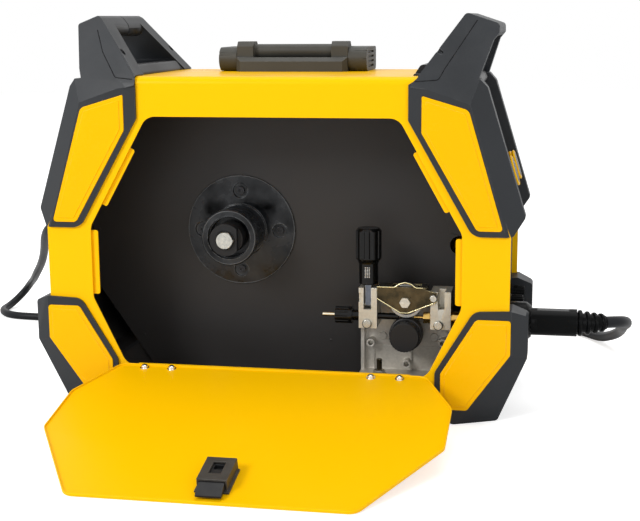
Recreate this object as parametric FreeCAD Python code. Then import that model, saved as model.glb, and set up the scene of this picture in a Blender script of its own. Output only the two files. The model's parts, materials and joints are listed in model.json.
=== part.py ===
import FreeCAD, Part
import math
import os
from FreeCAD import Vector

# Portable wire-feed arc welding machine with its side door open. Millimetres.
# Origin on the floor under the middle of the cabinet, +X to the front, +Z up.
# The open side faces -Y. Every mirrored piece is drawn for the front near corner.

# Driving sizes of the cabinet
body_width = 200.0
body_top = 346.0
tray_height = 14.0
knee_half = 239.0
upper_knee = 196.0
lower_knee = 112.0
top_half = 150.0
bottom_half = 172.0
sheet = 1.5
bend_radius = 8.0
fit = 0.3
running = 0.08
end_recess = 6.0
panel_wall = 3.0
tray_rim = 28.0

# Door opening in the near side and the stops behind its edge
opening_top = 305.8
opening_top_half = 128.2
opening_half = 191.5
opening_upper_knee = 192.5
opening_lower_knee = 117.5
opening_bottom = 46.0
opening_bottom_half = 157.0
opening_corner = 15.0
diagonal_reach = 5.0
upright_reach = 6.4
stop_overlap = 7.0
stop_setback = 3.3

# Door
door_sheet = 1.2
door_lip = 3.0
door_gap = 1.5
door_foot = 7.0
hinge_tongue_half = 142.0
hinge_place = 118.0
hinge_length = 42.0
hinge_leaf = 24.0
hinge_plate = 1.4
hinge_radius = 3.0
pin_radius = 1.5
door_screw_pitch = 29.0
door_screw_up = 12.5
floor_gap = 0.3

# Slide latch on the door
latch_width = 27.0
latch_base = 246.0
latch_height = 39.0
latch_depth = 12.0
latch_wall = 2.0
tongue_width = 23.0
tongue_tip = 299.0
tongue_clear = 3.8
thumb_hole = 11.0
latch_travel = 8.0

# Moulded corner guards
guard_wall = 3.0
guard_wrap = 35.0
neck = 345.0
tower_top = 407.0
tower_lean = 0.629
leg_thickness = 28.0
bar_bottom = 384.0
seam_gap = 0.4
insert_pocket = 1.4
insert_proud = 0.6
insert_gap = 0.4
insert_step = 0.7
insert_border = 4.0
upper_facet_rate = 0.85
lower_facet_rate = 0.6
fold_z = 340.5
fold_drop = 0.345
tower_lean_out = 0.46
seam_groove = 1.6
seam_width = 0.9
tower_screw_y = -82.0
tower_screw_z = 370.0
tower_screw_pit = 4.0

# Folding carry handle on the top
handle_x = -4.0
handle_base_half = 61.0
handle_base_height = 15.0
handle_base_front = 20.0
handle_base_depth = 34.0
post_width = 18.0
post_height = 32.0
handle_tube = 15.0
bail_width = 20.0
bail_height = 25.4
bail_reach = 50.0
bail_axis_y = 40.0
bail_pin = 8.0
bail_grooves = 4

# Partition and spool hub
partition_face = 8.0
hub_x = -58.0
hub_z = 175.0
hub_flange_radius = 60.0
hub_flange_thick = 6.0
hub_screw_circle = 43.5
hub_screw_recess = 8.0
hub_screw_radius = 2.5
hub_boss_radius = 25.0
hub_boss_wall = 3.5
hub_boss_front = -45.0
hub_ring_radius = 30.0
hub_ring_length = 11.0
hub_collar_radius = 16.8
hub_collar_front = -64.0
hub_spindle_radius = 9.0
spindle_radius = 5.0
hub_bolt_flats = 17.0
hub_bolt_head = 6.5

# Wire drive
wire_y = -40.0
wire_z = 94.5
wire_gap = 0.8
drive_x = 130.0
drive_radius = 17.6
press_radius = 17.6
roller_axle_radius = 2.5
roll_width = 12.0
drive_shaft_radius = 5.0
cap_radius = 15.8
cap_length = 14.0
cap_flutes = 30
plate_left = 79.0
plate_right = 176.0
plate_top = 117.0
plate_bottom = 27.0
plate_front = -16.0
plate_thick = 8.0
boss_radius = 4.6
boss_length = 12.0
ledge_top = 57.0
block_front = -50.0
inlet_left = 81.0
inlet_right = 100.0
inlet_top = 126.0
inlet_bottom = 83.0
outlet_left = 156.0
outlet_right = 177.0
outlet_top = 124.0
outlet_bottom = 84.0
slot_width = 8.0
slot_floor = 103.0
guide_radius = 3.4
arm_sheet = 1.6
arm_top = 128.4
arm_left = 100.4
arm_catch = 8.2
pivot_x = 159.5
pivot_z = 117.6
pivot_screw_radius = 3.0
stem_x = 90.0
stem_pivot_z = 106.5
stem_radius = 3.2
stem_pin_radius = 2.0
sleeve_radius = 10.0
sleeve_bottom = 128.8
sleeve_top = 153.5
knob_radius = 13.4
knob_top = 188.0
knob_flutes = 10
motor_radius = 29.0
motor_length = 56.0
gearbox_size = 56.0
gearbox_depth = 22.0

# Front console, controls and sockets
console_half = 67.4
console_wall = 3.0
control_knob_radius = 14.0
control_knob_length = 13.0
control_shaft_radius = 3.0
fascia_knee = 68.0
socket_z = 103.0
socket_pitch = 48.0
socket_y = 10.0
socket_radius = 7.6
socket_reach = 16.0
socket_bore = 4.7

# Torch connector, boot and lead
nut_radius = 20.0
nut_front = 259.0
sleeve_end = 305.0
torch_sleeve_radius = 14.0
boot_turn = 28.0
boot_radius = 60.0
boot_ribs = 4
torch_cord = 12.0

# Rear fittings and mains lead
gland_y = 22.0
gland_z = 180.0
gland_radius = 11.0
gland_length = 20.0
fan_y = 62.0
fan_z = 144.0
fan_radius = 28.0
fan_blades = 7
fan_hub_radius = 13.0
fan_shaft_radius = 2.0
gas_y = -45.0
gas_z = 140.0
switch_up = 62.0
switch_height = 30.0
switch_width = 20.0
switch_pin_radius = 1.2
switch_pin_depth = 1.6

# Cords, coils and what hangs on their ends
torch_coil_radius = 105.0
torch_coil_pitch = 15.0
torch_coil_rise = 12.9
mains_cord = 10.0
mains_coil_radius = 72.0
mains_coil_pitch = 12.6
mains_coil_rise = 13.6
torch_tail = 118.0
mains_tail = 40.0
loops_in = 4
loops_out = 3
handle_half_width = 17.0
handle_half_height = 16.5
handle_length = 178.0
trigger_width = 12.0
trigger_length = 42.0
trigger_pin_radius = 1.5
neck_radius = 8.0
neck_bend = 70.0
neck_turn = 50.0
nozzle_radius = 10.5
nozzle_length = 52.0
plug_radius = 18.0

near = -body_width / 2
far = body_width / 2
guard_face = near - guard_wall
wrap_back = guard_face + guard_wrap


def both_sides(right):
    """Closed outline from its right half, given from bottom to top as (x, z)."""
    return right + [(-x, z) for x, z in reversed(right)]


def inset(points, distances):
    """Outline with each side moved inward by its own distance, sides in point order."""
    count = len(points)
    lines = []
    for i in range(count):
        (x1, z1), (x2, z2) = points[i], points[(i + 1) % count]
        length = math.hypot(x2 - x1, z2 - z1)
        nx, nz = (z1 - z2) / length, (x2 - x1) / length
        lines.append((nx, nz, nx * x1 + nz * z1 + distances[i]))
    moved = []
    for i in range(count):
        a, b = lines[i - 1], lines[i]
        det = a[0] * b[1] - a[1] * b[0]
        moved.append(((a[2] * b[1] - a[1] * b[2]) / det, (a[0] * b[2] - a[2] * b[0]) / det))
    return moved


def corner(before, point, after, radius):
    """The two tangent points and the middle of the arc that rounds a corner."""
    u = (before - point).normalize()
    w = (after - point).normalize()
    half = u.getAngle(w) / 2
    cut = radius / math.tan(half)
    middle = point + (u + w).normalize() * (radius / math.sin(half) - radius)
    return point + u * cut, middle, point + w * cut


def loop(points, radius=0.0):
    """Closed wire through points; radius is one for every corner or a list with one for each."""
    count = len(points)
    radii = radius if isinstance(radius, list) else [radius] * count
    edges = []
    arcs = []
    for i in range(count):
        if radii[i] > 0:
            arcs.append(corner(points[i - 1], points[i], points[(i + 1) % count], radii[i]))
        else:
            arcs.append((points[i], None, points[i]))
    for i in range(count):
        start, middle, end = arcs[i]
        if middle:
            edges.append(Part.Arc(start, middle, end).toShape())
        edges.append(Part.LineSegment(end, arcs[(i + 1) % count][0]).toShape())
    return Part.Wire(edges)


def prism_xz(points, y0, y1, radius=0.0):
    face = Part.Face(loop([Vector(x, y0, z) for x, z in points], radius))
    return face.extrude(Vector(0, y1 - y0, 0))


def prism_yz(points, x0, x1, radius=0.0):
    face = Part.Face(loop([Vector(x0, y, z) for y, z in points], radius))
    return face.extrude(Vector(x1 - x0, 0, 0))


def prism_xy(points, z0, z1, radius=0.0):
    face = Part.Face(loop([Vector(x, y, z0) for x, y in points], radius))
    return face.extrude(Vector(0, 0, z1 - z0))


def block(x0, x1, y0, y1, z0, z1):
    return Part.makeBox(x1 - x0, y1 - y0, z1 - z0, Vector(x0, y0, z0))


def rod(start, direction, radius, length):
    return Part.makeCylinder(radius, length, Vector(*start), Vector(*direction))


def rod_y(x, z, radius, y0, y1):
    return rod((x, y0, z), (0, 1, 0), radius, y1 - y0)


def rod_x(y, z, radius, x0, x1):
    return rod((x0, y, z), (1, 0, 0), radius, x1 - x0)


def hexagon_y(x, z, flats, y0, y1):
    """Six-sided bar along Y."""
    radius = flats / math.sqrt(3)
    points = [(x + radius * math.cos(math.radians(60 * i)), z + radius * math.sin(math.radians(60 * i)))
              for i in range(6)]
    return prism_xz(points, y0, y1)


def hexagon_x(y, z, flats, x0, x1):
    radius = flats / math.sqrt(3)
    points = [(y + radius * math.cos(math.radians(60 * i)), z + radius * math.sin(math.radians(60 * i)))
              for i in range(6)]
    return prism_yz(points, x0, x1)


def turned(points, base, axis):
    """Solid of revolution; points are (radius, distance along the axis) from base."""
    wire = Part.makePolygon([Vector(r, 0, h) for r, h in points + [points[0]]])
    solid = Part.Face(wire).revolve(Vector(0, 0, 0), Vector(0, 0, 1), 360)
    spin = FreeCAD.Rotation(Vector(0, 0, 1), Vector(*axis))
    solid.Placement = FreeCAD.Placement(Vector(*base), spin)
    return solid


def union(shapes):
    first = shapes[0]
    return first.fuse(shapes[1:]).removeSplitter() if len(shapes) > 1 else first


def mirrored(shape, x=False, y=False):
    if x:
        shape = shape.mirror(Vector(0, 0, 0), Vector(1, 0, 0))
    if y:
        shape = shape.mirror(Vector(0, 0, 0), Vector(0, 1, 0))
    return shape


def save(name, *shapes):
    """Write a node; several solids make a group."""
    solids = [solid for shape in shapes for solid in shape.Solids]
    shape = solids[0] if len(solids) == 1 else Part.makeCompound(solids)
    if not shape.isValid():
        print("not valid:", name)
    shape.exportStep(f"parts/{name}.step")
    print(f"{name}: {len(solids)} solid(s), {sum(s.Volume for s in solids) / 1000:.2f} cm3")


# Outlines in the XZ plane

side_outline = both_sides([
    (bottom_half, tray_height), (knee_half, lower_knee), (knee_half, upper_knee), (top_half, body_top)])
opening_outline = both_sides([
    (opening_bottom_half, opening_bottom), (opening_half, opening_lower_knee),
    (opening_half, opening_upper_knee), (opening_top_half, opening_top)])
side_outline = side_outline[-1:] + side_outline[:-1]
sheet_outline = both_sides([
    (bottom_half, tray_height), (knee_half, lower_knee), (knee_half, upper_knee - 5.5), (232.3, 207.3),
    (top_half, body_top)])
opening_outline = opening_outline[-1:] + opening_outline[:-1]

upper_guard_outline = [
    (138.0, 304.0), (202.0, 191.3), (241.0, 191.3), (252.4, 208.5),
    (213.2, 335.5), (206.0, 343.5), (146.0, 343.5), (138.0, 338.5)]
upper_guard_corners = [2.0, 15.0, 3.0, 4.0, 4.0, 0.0, 0.0, 0.0]
upper_facet = [(231.0, 203.4), (200.0, 311.6)]
lower_facets = [[(198.4, 16.1), (241.1, 74.1)], [(241.1, 74.1), (241.1, 118.0)]]
upper_insert_outline = [(151.0, 292.0), (206.0, 197.0), (231.5, 197.0), (196.5, 314.5), (151.0, 328.0)]
upper_insert_corners = [3.0, 6.0, 3.0, 8.0, 1.5]
lower_guard_outline = [
    (166.0, 20.0), (183.0, 0.0), (228.0, 0.0), (257.0, 69.0), (257.0, 111.5), (241.0, 118.0),
    (204.2, 116.4), (166.0, 53.0)]
lower_guard_corners = [8.0, 4.0, 4.0, 6.0, 4.0, 3.0, 13.0, 8.0]
lower_insert_outline = [
    (182.0, 15.0), (198.5, 15.0), (240.6, 73.5), (240.6, 108.5), (206.5, 108.5), (171.7, 52.0),
    (171.7, 28.0)]
lower_insert_corners = [2.0, 4.0, 4.0, 3.0, 6.0, 4.0, 4.0]

# Grab towers: outline of a leg, and the edge that faces the middle of the machine
front_tower = {
    "leg": [(139.2, 336.0), (198.5, 330.0), (204.6, 343.5), (217.0, 380.5), (222.5, 387.0),
            (222.5, 396.0),
            (190.0, tower_top)],
    "leg_corners": [0.0, 0.0, 0.0, 2.0, 3.0, 4.0, 4.0],
    "bar_corners": [0.0, 3.0, 4.0, 4.0, 9.0],
    "edge": [(148.0, 348.3), (183.0, 397.2)]}
rear_tower = {
    "leg": [(138.4, 336.0), (194.0, 330.0), (198.6, 342.8), (202.0, 353.5), (209.6, 398.0),
            (188.0, 406.5),
            (183.6, 404.0), (138.2, 347.4)],
    "leg_corners": [0.0, 0.0, 0.0, 3.0, 3.0, 3.0, 3.0, 0.0],
    "bar_corners": [0.0, 3.0, 3.0, 3.0, 9.0],
    "edge": [(145.0, 355.9), (179.0, 398.2)]}
tower_foot = [(139.5, body_top + fit), (190.0, body_top + fit), (190.0, 349.0), (161.0, 356.5),
              (146.0, 356.5)]


def above(outline, height):
    """The part of an outline above a height."""
    points = []
    for (x1, z1), (x2, z2) in zip(outline, outline[1:] + outline[:1]):
        if (z1 < height) != (z2 < height):
            points.append((x1 + (x2 - x1) * (height - z1) / (z2 - z1), height))
        if z2 >= height:
            points.append((x2, z2))
    return points


def panel_line(depth):
    """The side outline drawn in by a depth at both ends, its top and bottom inside the sheet."""
    gap = sheet + fit
    return inset(side_outline, [sheet, depth, depth, depth, gap, depth, depth, depth])


def cover():
    """One folded sheet: near side with the door opening, top and far side."""
    z0 = tray_height + 2.0
    outer = block(-knee_half, knee_half, near, far, z0, body_top)
    inner = block(-knee_half, knee_half, near + sheet, far - sheet, z0, body_top - sheet)
    outer = outer.makeFillet(bend_radius, [e for e in outer.Edges if is_top_edge(e, body_top)])
    inner = inner.makeFillet(bend_radius - sheet, [e for e in inner.Edges if is_top_edge(e,
                                                                                         body_top - sheet)])
    shell = outer.cut(inner).common(prism_xz(sheet_outline, near - 1, far + 1))
    shell = shell.cut(prism_xz(opening_outline, near - 1, near + sheet + 1, opening_corner))
    stops = [door_stop(0.20, 0.715, 3, diagonal_reach), door_stop(0.04, 0.94, 2, upright_reach)]
    stops += [mirrored(stop, x=True) for stop in stops]
    louvres = [vent(110.0 + 14.0 * row, x) for row in range(6) for x in (-110.0, 110.0)]
    return union([shell.cut(louvres)] + stops)


def is_top_edge(edge, height):
    box = edge.BoundBox
    return abs(box.ZMin - height) < 0.01 and abs(box.ZMax - height) < 0.01 and box.XLength > 10


def vent(height, x):
    """Cooling slot through the far side."""
    length, width = 80.0, 5.0
    points = [(x - length / 2, height), (x + length / 2, height),
              (x + length / 2, height + width), (x - length / 2, height + width)]
    return prism_xz(points, far - sheet - 1, far + 1, width / 2 - 0.1)


def door_stop(start, end, side, reach):
    """Joggled strip behind one edge of the opening; start and end are shares of that edge."""
    (x1, z1), (x2, z2) = opening_outline[side], opening_outline[side + 1]
    length = math.hypot(x2 - x1, z2 - z1)
    ux, uz = (x2 - x1) / length, (z2 - z1) / length
    nx, nz = -uz, ux

    def strip(a, b, y0, y1, corners=0.0):
        p = (x1 + ux * length * start, z1 + uz * length * start)
        q = (x1 + ux * length * end, z1 + uz * length * end)
        points = [(p[0] + nx * a, p[1] + nz * a), (q[0] + nx * a, q[1] + nz * a),
                  (q[0] + nx * b, q[1] + nz * b), (p[0] + nx * b, p[1] + nz * b)]
        return prism_xz(points, y0, y1, corners)

    face = near + stop_setback
    return union([strip(-stop_overlap, reach, face, face + sheet, [0.0, 0.0, 2.5, 2.5]),
                  strip(-stop_overlap, -sheet, near + sheet, face + sheet)])


def base_tray():
    outer = inset(side_outline, [0.0] + [end_recess] * 3 + [0.0] + [end_recess] * 3)
    inner = inset(side_outline, [sheet] + [end_recess + sheet] * 3 + [0.0] + [end_recess + sheet] * 3)
    half = body_width / 2 - sheet - fit / 3
    limit = block(-knee_half, knee_half, -half, half, tray_height, tray_height + tray_rim)
    tray = prism_xz(outer, -half, half).common(limit)
    return tray.cut(prism_xz(inner, -half + sheet, half - sheet))


def partition():
    gap = end_recess + panel_wall + fit
    outline = panel_line(gap)
    wall = prism_xz(outline, partition_face, partition_face + sheet)
    foot_x = bottom_half - gap - 8.0
    foot_z = tray_height + sheet
    foot = block(-foot_x, foot_x, partition_face, partition_face + 18.0, foot_z, foot_z + sheet)
    gear_hole = rod_y(drive_x, drive_z, drive_shaft_radius + 8.0, partition_face - 1,
                      partition_face + sheet + 1)
    cable_hole = rod_y(180.5, 163.3, 10.0, partition_face - 1, partition_face + sheet + 1)
    tab = prism_xz([(186.0, 172.6), (186.0, 176.0), (171.5, 201.0), (164.7, 201.0), (170.3, 177.5)],
                   partition_face - 3.0, partition_face)
    screw_holes = [rod_y(x, z, hub_screw_radius + 0.1, partition_face - 1, partition_face + sheet + 1)
                   for x, z in hub_screw_places()]
    return union([wall, foot, tab]).cut([gear_hole, cable_hole] + screw_holes)


def end_panel():
    """Moulded front end: a band between the sides, and the console between the guards."""
    half = body_width / 2 - sheet - fit
    outer = panel_line(end_recess)
    inner = panel_line(end_recess + panel_wall)
    band = prism_xz(outer, -half, half).cut(prism_xz(inner, -half - 1, half + 1))
    low = tray_height + tray_rim + fit
    room = [(-half, low), (half, low), (half, body_top - sheet - fit), (-half, body_top - sheet - fit)]
    band = band.common(prism_yz(room, top_half - 12.0, knee_half, bend_radius - sheet))
    shell = prism_xz(console_outline, -console_half, console_half, 4.0)
    hollow = inset(console_outline, [console_wall] * len(console_outline))
    inside = prism_xz(hollow, -console_half + console_wall, console_half - console_wall, 1.5)
    keep = prism_xz(panel_line(end_recess + panel_wall), -half, half)
    console = shell.cut(inside).cut(keep)
    console = console.cut(block(0, knee_half, near, far, body_top - sheet - fit, body_top + fit)
                          .common(prism_xz(side_outline, near, far)))
    fascia = prism_xz(fascia_outline, -console_half, console_half, 3.0)
    hollow = inset(fascia_outline, [console_wall] * len(fascia_outline))
    open_room = prism_xz(hollow, -console_half + console_wall, console_half - console_wall)
    fascia = fascia.cut(keep)
    return union([band, console, fascia]).cut(open_room)


fascia_face = knee_half - end_recess
fascia_low = tray_height + tray_rim + fit
fascia_outline = [
    (170.0, fascia_low), (207.0, fascia_low), (fascia_face, fascia_knee), (fascia_face, 132.0),
    (215.0, 132.0)]
console_outline = [
    (150.0, 332.0), (228.0, 193.0), (238.5, 193.0), (240.0, 203.0), (200.0, 333.0), (205.5, 338.0),
    (200.0, 346.5), (161.0, 356.5), (146.0, 356.5), (139.5, 346.5), (147.0, 340.0)]
slope_low = Vector(240.0, 0, 203.0)
slope_high = Vector(200.0, 0, 333.0)
slope_up = (slope_high - slope_low).normalize()
slope_out = Vector(slope_up.z, 0, -slope_up.x)


def on_slope(up, y):
    """Point on the console face, given its distance up the slope."""
    return slope_low + slope_up * up + Vector(0, y, 0)


def slope_cylinder(up, y, radius, start, length):
    return Part.makeCylinder(radius, length, on_slope(up, y) + slope_out * start, slope_out)


def slope_block(up, y, height, width, start, length):
    """Cuboid standing on the console face."""
    centre = on_slope(up, y) + slope_out * start
    across = Vector(0, width / 2, 0)
    rise = slope_up * (height / 2)
    points = [centre - across - rise, centre + across - rise, centre + across + rise,
              centre - across + rise]
    return Part.Face(Part.makePolygon(points + [points[0]])).extrude(slope_out * length)


def facet(line, rate, inward=0.0):
    """Space outside a sloping facet that starts at a line across a guard's face."""
    (x1, z1), (x2, z2) = line
    length = math.hypot(x2 - x1, z2 - z1)
    ux, uz = (x2 - x1) / length, (z2 - z1) / length
    out_x, out_z = uz, -ux
    over, reach = 60.0, 60.0
    x1, z1 = x1 - ux * over, z1 - uz * over
    places = [(0, 0), (reach, reach * rate), (reach, -5), (0, -5)]
    points = [Vector(x1 + out_x * h, guard_face + depth, z1 + out_z * h) for h, depth in places]
    wedge = Part.Face(Part.makePolygon(points + [points[0]])).extrude(Vector(ux, 0,
                                                                             uz) * (length + 2 * over))
    wedge.translate(Vector(-out_x * rate, 1, -out_z * rate).normalize() * inward)
    return wedge


def cabinet_space():
    """What a front near guard leaves free: the sheet in its slot and the end panel behind it."""
    outside = inset(sheet_outline, [-fit] * len(sheet_outline))
    edge, top = far - sheet - fit, body_top - sheet - fit
    inner = prism_yz([(-edge, 0), (edge, 0), (edge, top), (-edge, top)], -300, 300,
                     bend_radius - sheet - fit)
    slot = prism_xz(outside, near - fit, far + fit).cut(inner)
    gap = end_recess - fit
    behind = inset(side_outline, [-fit] + [gap] * 3 + [-fit] + [gap] * 3)
    return slot.fuse(prism_xz(behind, near + sheet, far))


def hollow_guard(outline, radius):
    """Outline moulding, open on the cabinet side and hollow behind its face."""
    body = prism_xz(outline, guard_face, wrap_back, radius)
    cavity = inset(outline, [guard_wall] * len(outline))
    hollow = prism_xz(cavity, near + sheet + guard_wall, wrap_back - guard_wall, 1.0)
    return body, hollow


def lean_y(x, z):
    """Depth of the leaning face of an upper guard, which folds back above its insert."""
    return guard_face + tower_lean_out * (z - fold_z + fold_drop * (x - upper_guard_outline[0][0]))


def outside_lean(inward):
    """Space outside the leaning face, or outside a face a wall thickness behind it."""
    places = [(100.0, 300.0), (260.0, 300.0), (260.0, 430.0), (100.0, 430.0)]
    points = [Vector(x, lean_y(x, z) + inward, z) for x, z in places]
    return Part.Face(Part.makePolygon(points + [points[0]])).extrude(Vector(0, -150, 0))


def edge_groove(edge, depth, y0, y1):
    """Slot along the edge of a grip bar that faces the middle of the machine."""
    (x1, z1), (x2, z2) = edge
    length = math.hypot(x2 - x1, z2 - z1)
    ux, uz = (x2 - x1) / length, (z2 - z1) / length
    a, b = 0.70 * length, 1.10 * length
    corners = [(x1 + ux * t - uz * h, z1 + uz * t + ux * h) for t,
               h in ((a, 6), (a, -depth), (b, -depth), (b, 6))]
    return prism_xz(corners, y0, y1)


def tower(shape):
    """Leaning leg and half of the grip bar that joins the two guards of one end."""
    back = guard_face + leg_thickness
    rise = tower_top + 5.0 - neck
    behind = prism_yz([(back, 300), (back, neck), (back + rise * tower_lean, neck + rise),
                       (10, neck + rise), (10, 300)],
                      100, 260)
    leg = prism_xz(shape["leg"], guard_face - 1, 0, shape["leg_corners"]).cut(behind)
    bar_outline = above(shape["leg"], bar_bottom)
    bar = prism_xz(bar_outline, back + 6.0, -seam_gap / 2, shape["bar_corners"])
    groove = prism_xz(inset(bar_outline, [seam_groove] * len(bar_outline)), -2, 2)
    ring = block(100, 260, -seam_width, 1, bar_bottom - 1, tower_top + 1).cut(groove)
    bar = bar.cut([ring, edge_groove(shape["edge"], 3.0, -50.5, -47.8)])
    (x1, z1), (x2, z2) = shape["edge"]
    x = x1 + (x2 - x1) * (tower_screw_z - z1) / (z2 - z1)
    inward = Vector(z2 - z1, 0, x1 - x2).normalize()
    place = Vector(x, tower_screw_y, tower_screw_z)
    pit = Part.makeCylinder(tower_screw_pit, 7.0, place - inward * 1.0, inward)
    head = Part.makeCylinder(tower_screw_pit - 1.2, 2.5, place + inward * 4.0, inward)
    foot = prism_xz(tower_foot, back - 3.0, -console_half - fit, [0.0, 0.0, 0.0, 4.0, 4.0])
    return union([union([leg, bar, foot]).cut(pit), head])


def pocket(outline, corners):
    wider = [radius + insert_gap for radius in corners]
    return prism_xz(inset(outline, [-insert_gap] * len(outline)), guard_face - 1,
                    guard_face + insert_pocket, wider)


def insert(outline, corners):
    """Inlay with a raised middle that leaves an even border."""
    base = prism_xz(outline, guard_face - insert_proud, guard_face + insert_pocket, corners)
    narrower = [max(radius - insert_border, 1.0) for radius in corners]
    middle = prism_xz(inset(outline, [insert_border] * len(outline)),
                      guard_face - insert_proud - insert_step,
                      guard_face, narrower)
    top = guard_face - insert_proud - insert_step
    edges = [e for e in middle.Edges if abs(e.BoundBox.YMax - top) < 0.01]
    return union([base, middle.makeChamfer(insert_step * 0.7, edges)])


def upper_guard(shape):
    body, hollow = hollow_guard(upper_guard_outline, upper_guard_corners)
    inside = [outside_lean(1.5 * guard_wall), facet(upper_facet, upper_facet_rate, guard_wall)]
    body = body.cut([hollow.cut(inside), facet(upper_facet, upper_facet_rate)])
    body = union([body, tower(shape)]).cut([outside_lean(0.0), cabinet_space()])
    console_room = block(100, 260, -console_half - fit, far, 150, 358.5)
    return body.cut([pocket(upper_insert_outline, upper_insert_corners), console_room])


def lower_guard():
    body, hollow = hollow_guard(lower_guard_outline, lower_guard_corners)
    inside = [facet(line, lower_facet_rate, guard_wall) for line in lower_facets]
    body = body.cut([hollow.cut(inside)] + [facet(line, lower_facet_rate) for line in lower_facets])
    body = body.cut(cabinet_space())
    return body.cut(pocket(lower_insert_outline, lower_insert_corners))


# Door, drawn closed and then swung about its hinge

hinge_y = near - hinge_radius - 0.2
hinge_z = opening_bottom + 0.5
door_top = opening_top - door_gap
door_reach = door_top - hinge_z
door_offset = near - hinge_y
door_angle = (math.atan2(door_offset, door_reach)
              + math.acos(-(hinge_z - floor_gap) / math.hypot(door_offset, door_reach)))


def opened(shape):
    moved = shape.copy()
    moved.rotate(Vector(0, hinge_y, hinge_z), Vector(1, 0, 0), math.degrees(door_angle))
    return moved


def door_outline():
    outline = inset(opening_outline, [door_foot] + [door_gap] * 7)
    return outline


def door():
    outline = door_outline()
    radius = opening_corner - door_gap
    panel = prism_xz(outline, near, near + door_lip, radius)
    pan = inset(outline, [door_sheet] * 8)
    panel = panel.cut(prism_xz(pan, near + door_sheet, near + door_lip + 1, radius - door_sheet))
    low = opening_bottom + door_gap
    tongue = block(-hinge_tongue_half, hinge_tongue_half, near, near + door_sheet, low,
                   low + door_foot + 4.0)
    thumb = latch_window(near - 1, near + door_sheet + 1)
    holes = [rod_y(x, screw_z, 2.2, near - 1, near + door_sheet + 1) for x in door_screw_places()]
    return union([panel, tongue]).cut([thumb] + holes)


screw_z = opening_bottom + 0.5 + door_screw_up


def door_screw_places():
    return [side * hinge_place + half * door_screw_pitch / 2 for side in (-1, 1) for half in (-1, 1)]


def door_screws():
    """Screws through the leaf and the door, each with a washer and a dome nut inside."""
    made = []
    for x in door_screw_places():
        inside = near + door_sheet
        shank = rod_y(x, screw_z, 2.0, near - hinge_plate - 1.6, inside + 2.0)
        head = turned([(0, 0), (4.0, 0), (3.2, 1.6), (0, 1.6)], (x, near - hinge_plate, screw_z),
                      (0, -1, 0))
        washer = rod_y(x, screw_z, 4.6, inside, inside + 0.8)
        dome = turned([(0, 0), (3.6, 0), (3.2, 1.8), (1.8, 3.0), (0, 3.3)], (x, inside + 0.8, screw_z),
                      (0, 1, 0))
        made.append(union([shank, head, washer, dome]))
    return made


def knuckle(x0, x1):
    return rod((x0, hinge_y, hinge_z), (1, 0, 0), hinge_radius, x1 - x0)


def hinge_halves():
    """Door leaf and frame leaf with alternate knuckles, for each of the two places."""
    door_leaves, frame_leaves = [], []
    third = hinge_length / 3
    for side in (-1, 1):
        x0 = side * hinge_place - hinge_length / 2
        x1 = x0 + hinge_length
        bore = rod((x0 - 1, hinge_y, hinge_z), (1, 0, 0), pin_radius + running, hinge_length + 2)
        leaf = block(x0, x1, near - hinge_plate, near, hinge_z, hinge_z + hinge_leaf)
        middle = knuckle(x0 + third + fit / 2, x1 - third - fit / 2)
        clear = [block(x0 - 1, x0 + third, near - 8, near + 1, hinge_z - 5, hinge_z + 4.5),
                 block(x1 - third, x1 + 1, near - 8, near + 1, hinge_z - 5, hinge_z + 4.5)]
        holes = [rod_y(side * hinge_place + half * door_screw_pitch / 2, screw_z, 2.2, near - 5, near + 1)
                 for half in (-1, 1)]
        door_leaves.append(union([leaf.cut(clear), middle]).cut([bore] + holes))
        plate = block(x0, x1, near - hinge_plate, near, hinge_z - hinge_leaf, hinge_z)
        gap = block(x0 + third, x1 - third, near - 8, near + 1, hinge_z - 4.5, hinge_z + 5)
        ends = [knuckle(x0, x0 + third - fit / 2), knuckle(x1 - third + fit / 2, x1)]
        frame = union([plate.cut(gap)] + ends).cut(bore)
        pin = rod((x0 - 0.8, hinge_y, hinge_z), (1, 0, 0), pin_radius, hinge_length + 1.6)
        frame_leaves.append(union([frame, pin]))
    return door_leaves, frame_leaves


def latch_window(y0, y1):
    """Slot in the door that the thumb piece slides in."""
    z0 = latch_base + 9.0
    return block(-thumb_hole / 2, thumb_hole / 2, y0, y1, z0, z0 + thumb_hole + latch_travel)


def latch_housing():
    inside = near + door_sheet
    x = latch_width / 2
    z0, z1 = latch_base, latch_base + latch_height
    outer = block(-x - 2, x + 2, inside, inside + 1.8, z0 + 2, z1 + 3)
    top = prism_yz([(inside, z0), (inside + latch_depth, z0 + 1.5), (inside + latch_depth, z1),
                    (inside, z1)], -x, x)
    body = union([outer, top])
    channel = block(-tongue_width / 2 - fit, tongue_width / 2 + fit, inside + 2.2,
                    inside + latch_depth - latch_wall,
                    z0 + 4.0, z1 + 5)
    finger = block(-thumb_hole / 2, thumb_hole / 2, inside - 1, inside + latch_depth + 1, z0 + 9.0,
                   z0 + 9.0 + thumb_hole + latch_travel)
    return body.cut([channel, finger])


def latch_slide():
    """Sliding bolt with a ramped tongue and its thumb piece."""
    inside = near + door_sheet
    x = tongue_width / 2
    back = inside + latch_depth - latch_wall - fit
    low = inside + 2.2 + fit
    z0 = latch_base + 6.0
    tip_y = near + tongue_clear
    plate_profile = [(low, z0), (back, z0), (back, latch_base + latch_height + 1.0),
                     (tip_y + 2.0, tongue_tip),
                     (tip_y, tongue_tip), (tip_y, latch_base + latch_height),
                     (low, latch_base + latch_height - 4)]
    body = prism_yz(plate_profile, -x, x)
    thumb_z = latch_base + 9.0 + fit
    thumb = block(-thumb_hole / 2 + fit, thumb_hole / 2 - fit, near - 1.5, low + 1, thumb_z,
                  thumb_z + thumb_hole - 2 * fit)
    recess = block(-thumb_hole / 2 + 1.5, thumb_hole / 2 - 1.5, back - 4.0, back + 1, thumb_z + 1.5,
                   thumb_z + thumb_hole - 2)
    return union([body, thumb]).cut(recess)


# Carry handle

bail_z = body_top + fit + bail_height / 2


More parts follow.
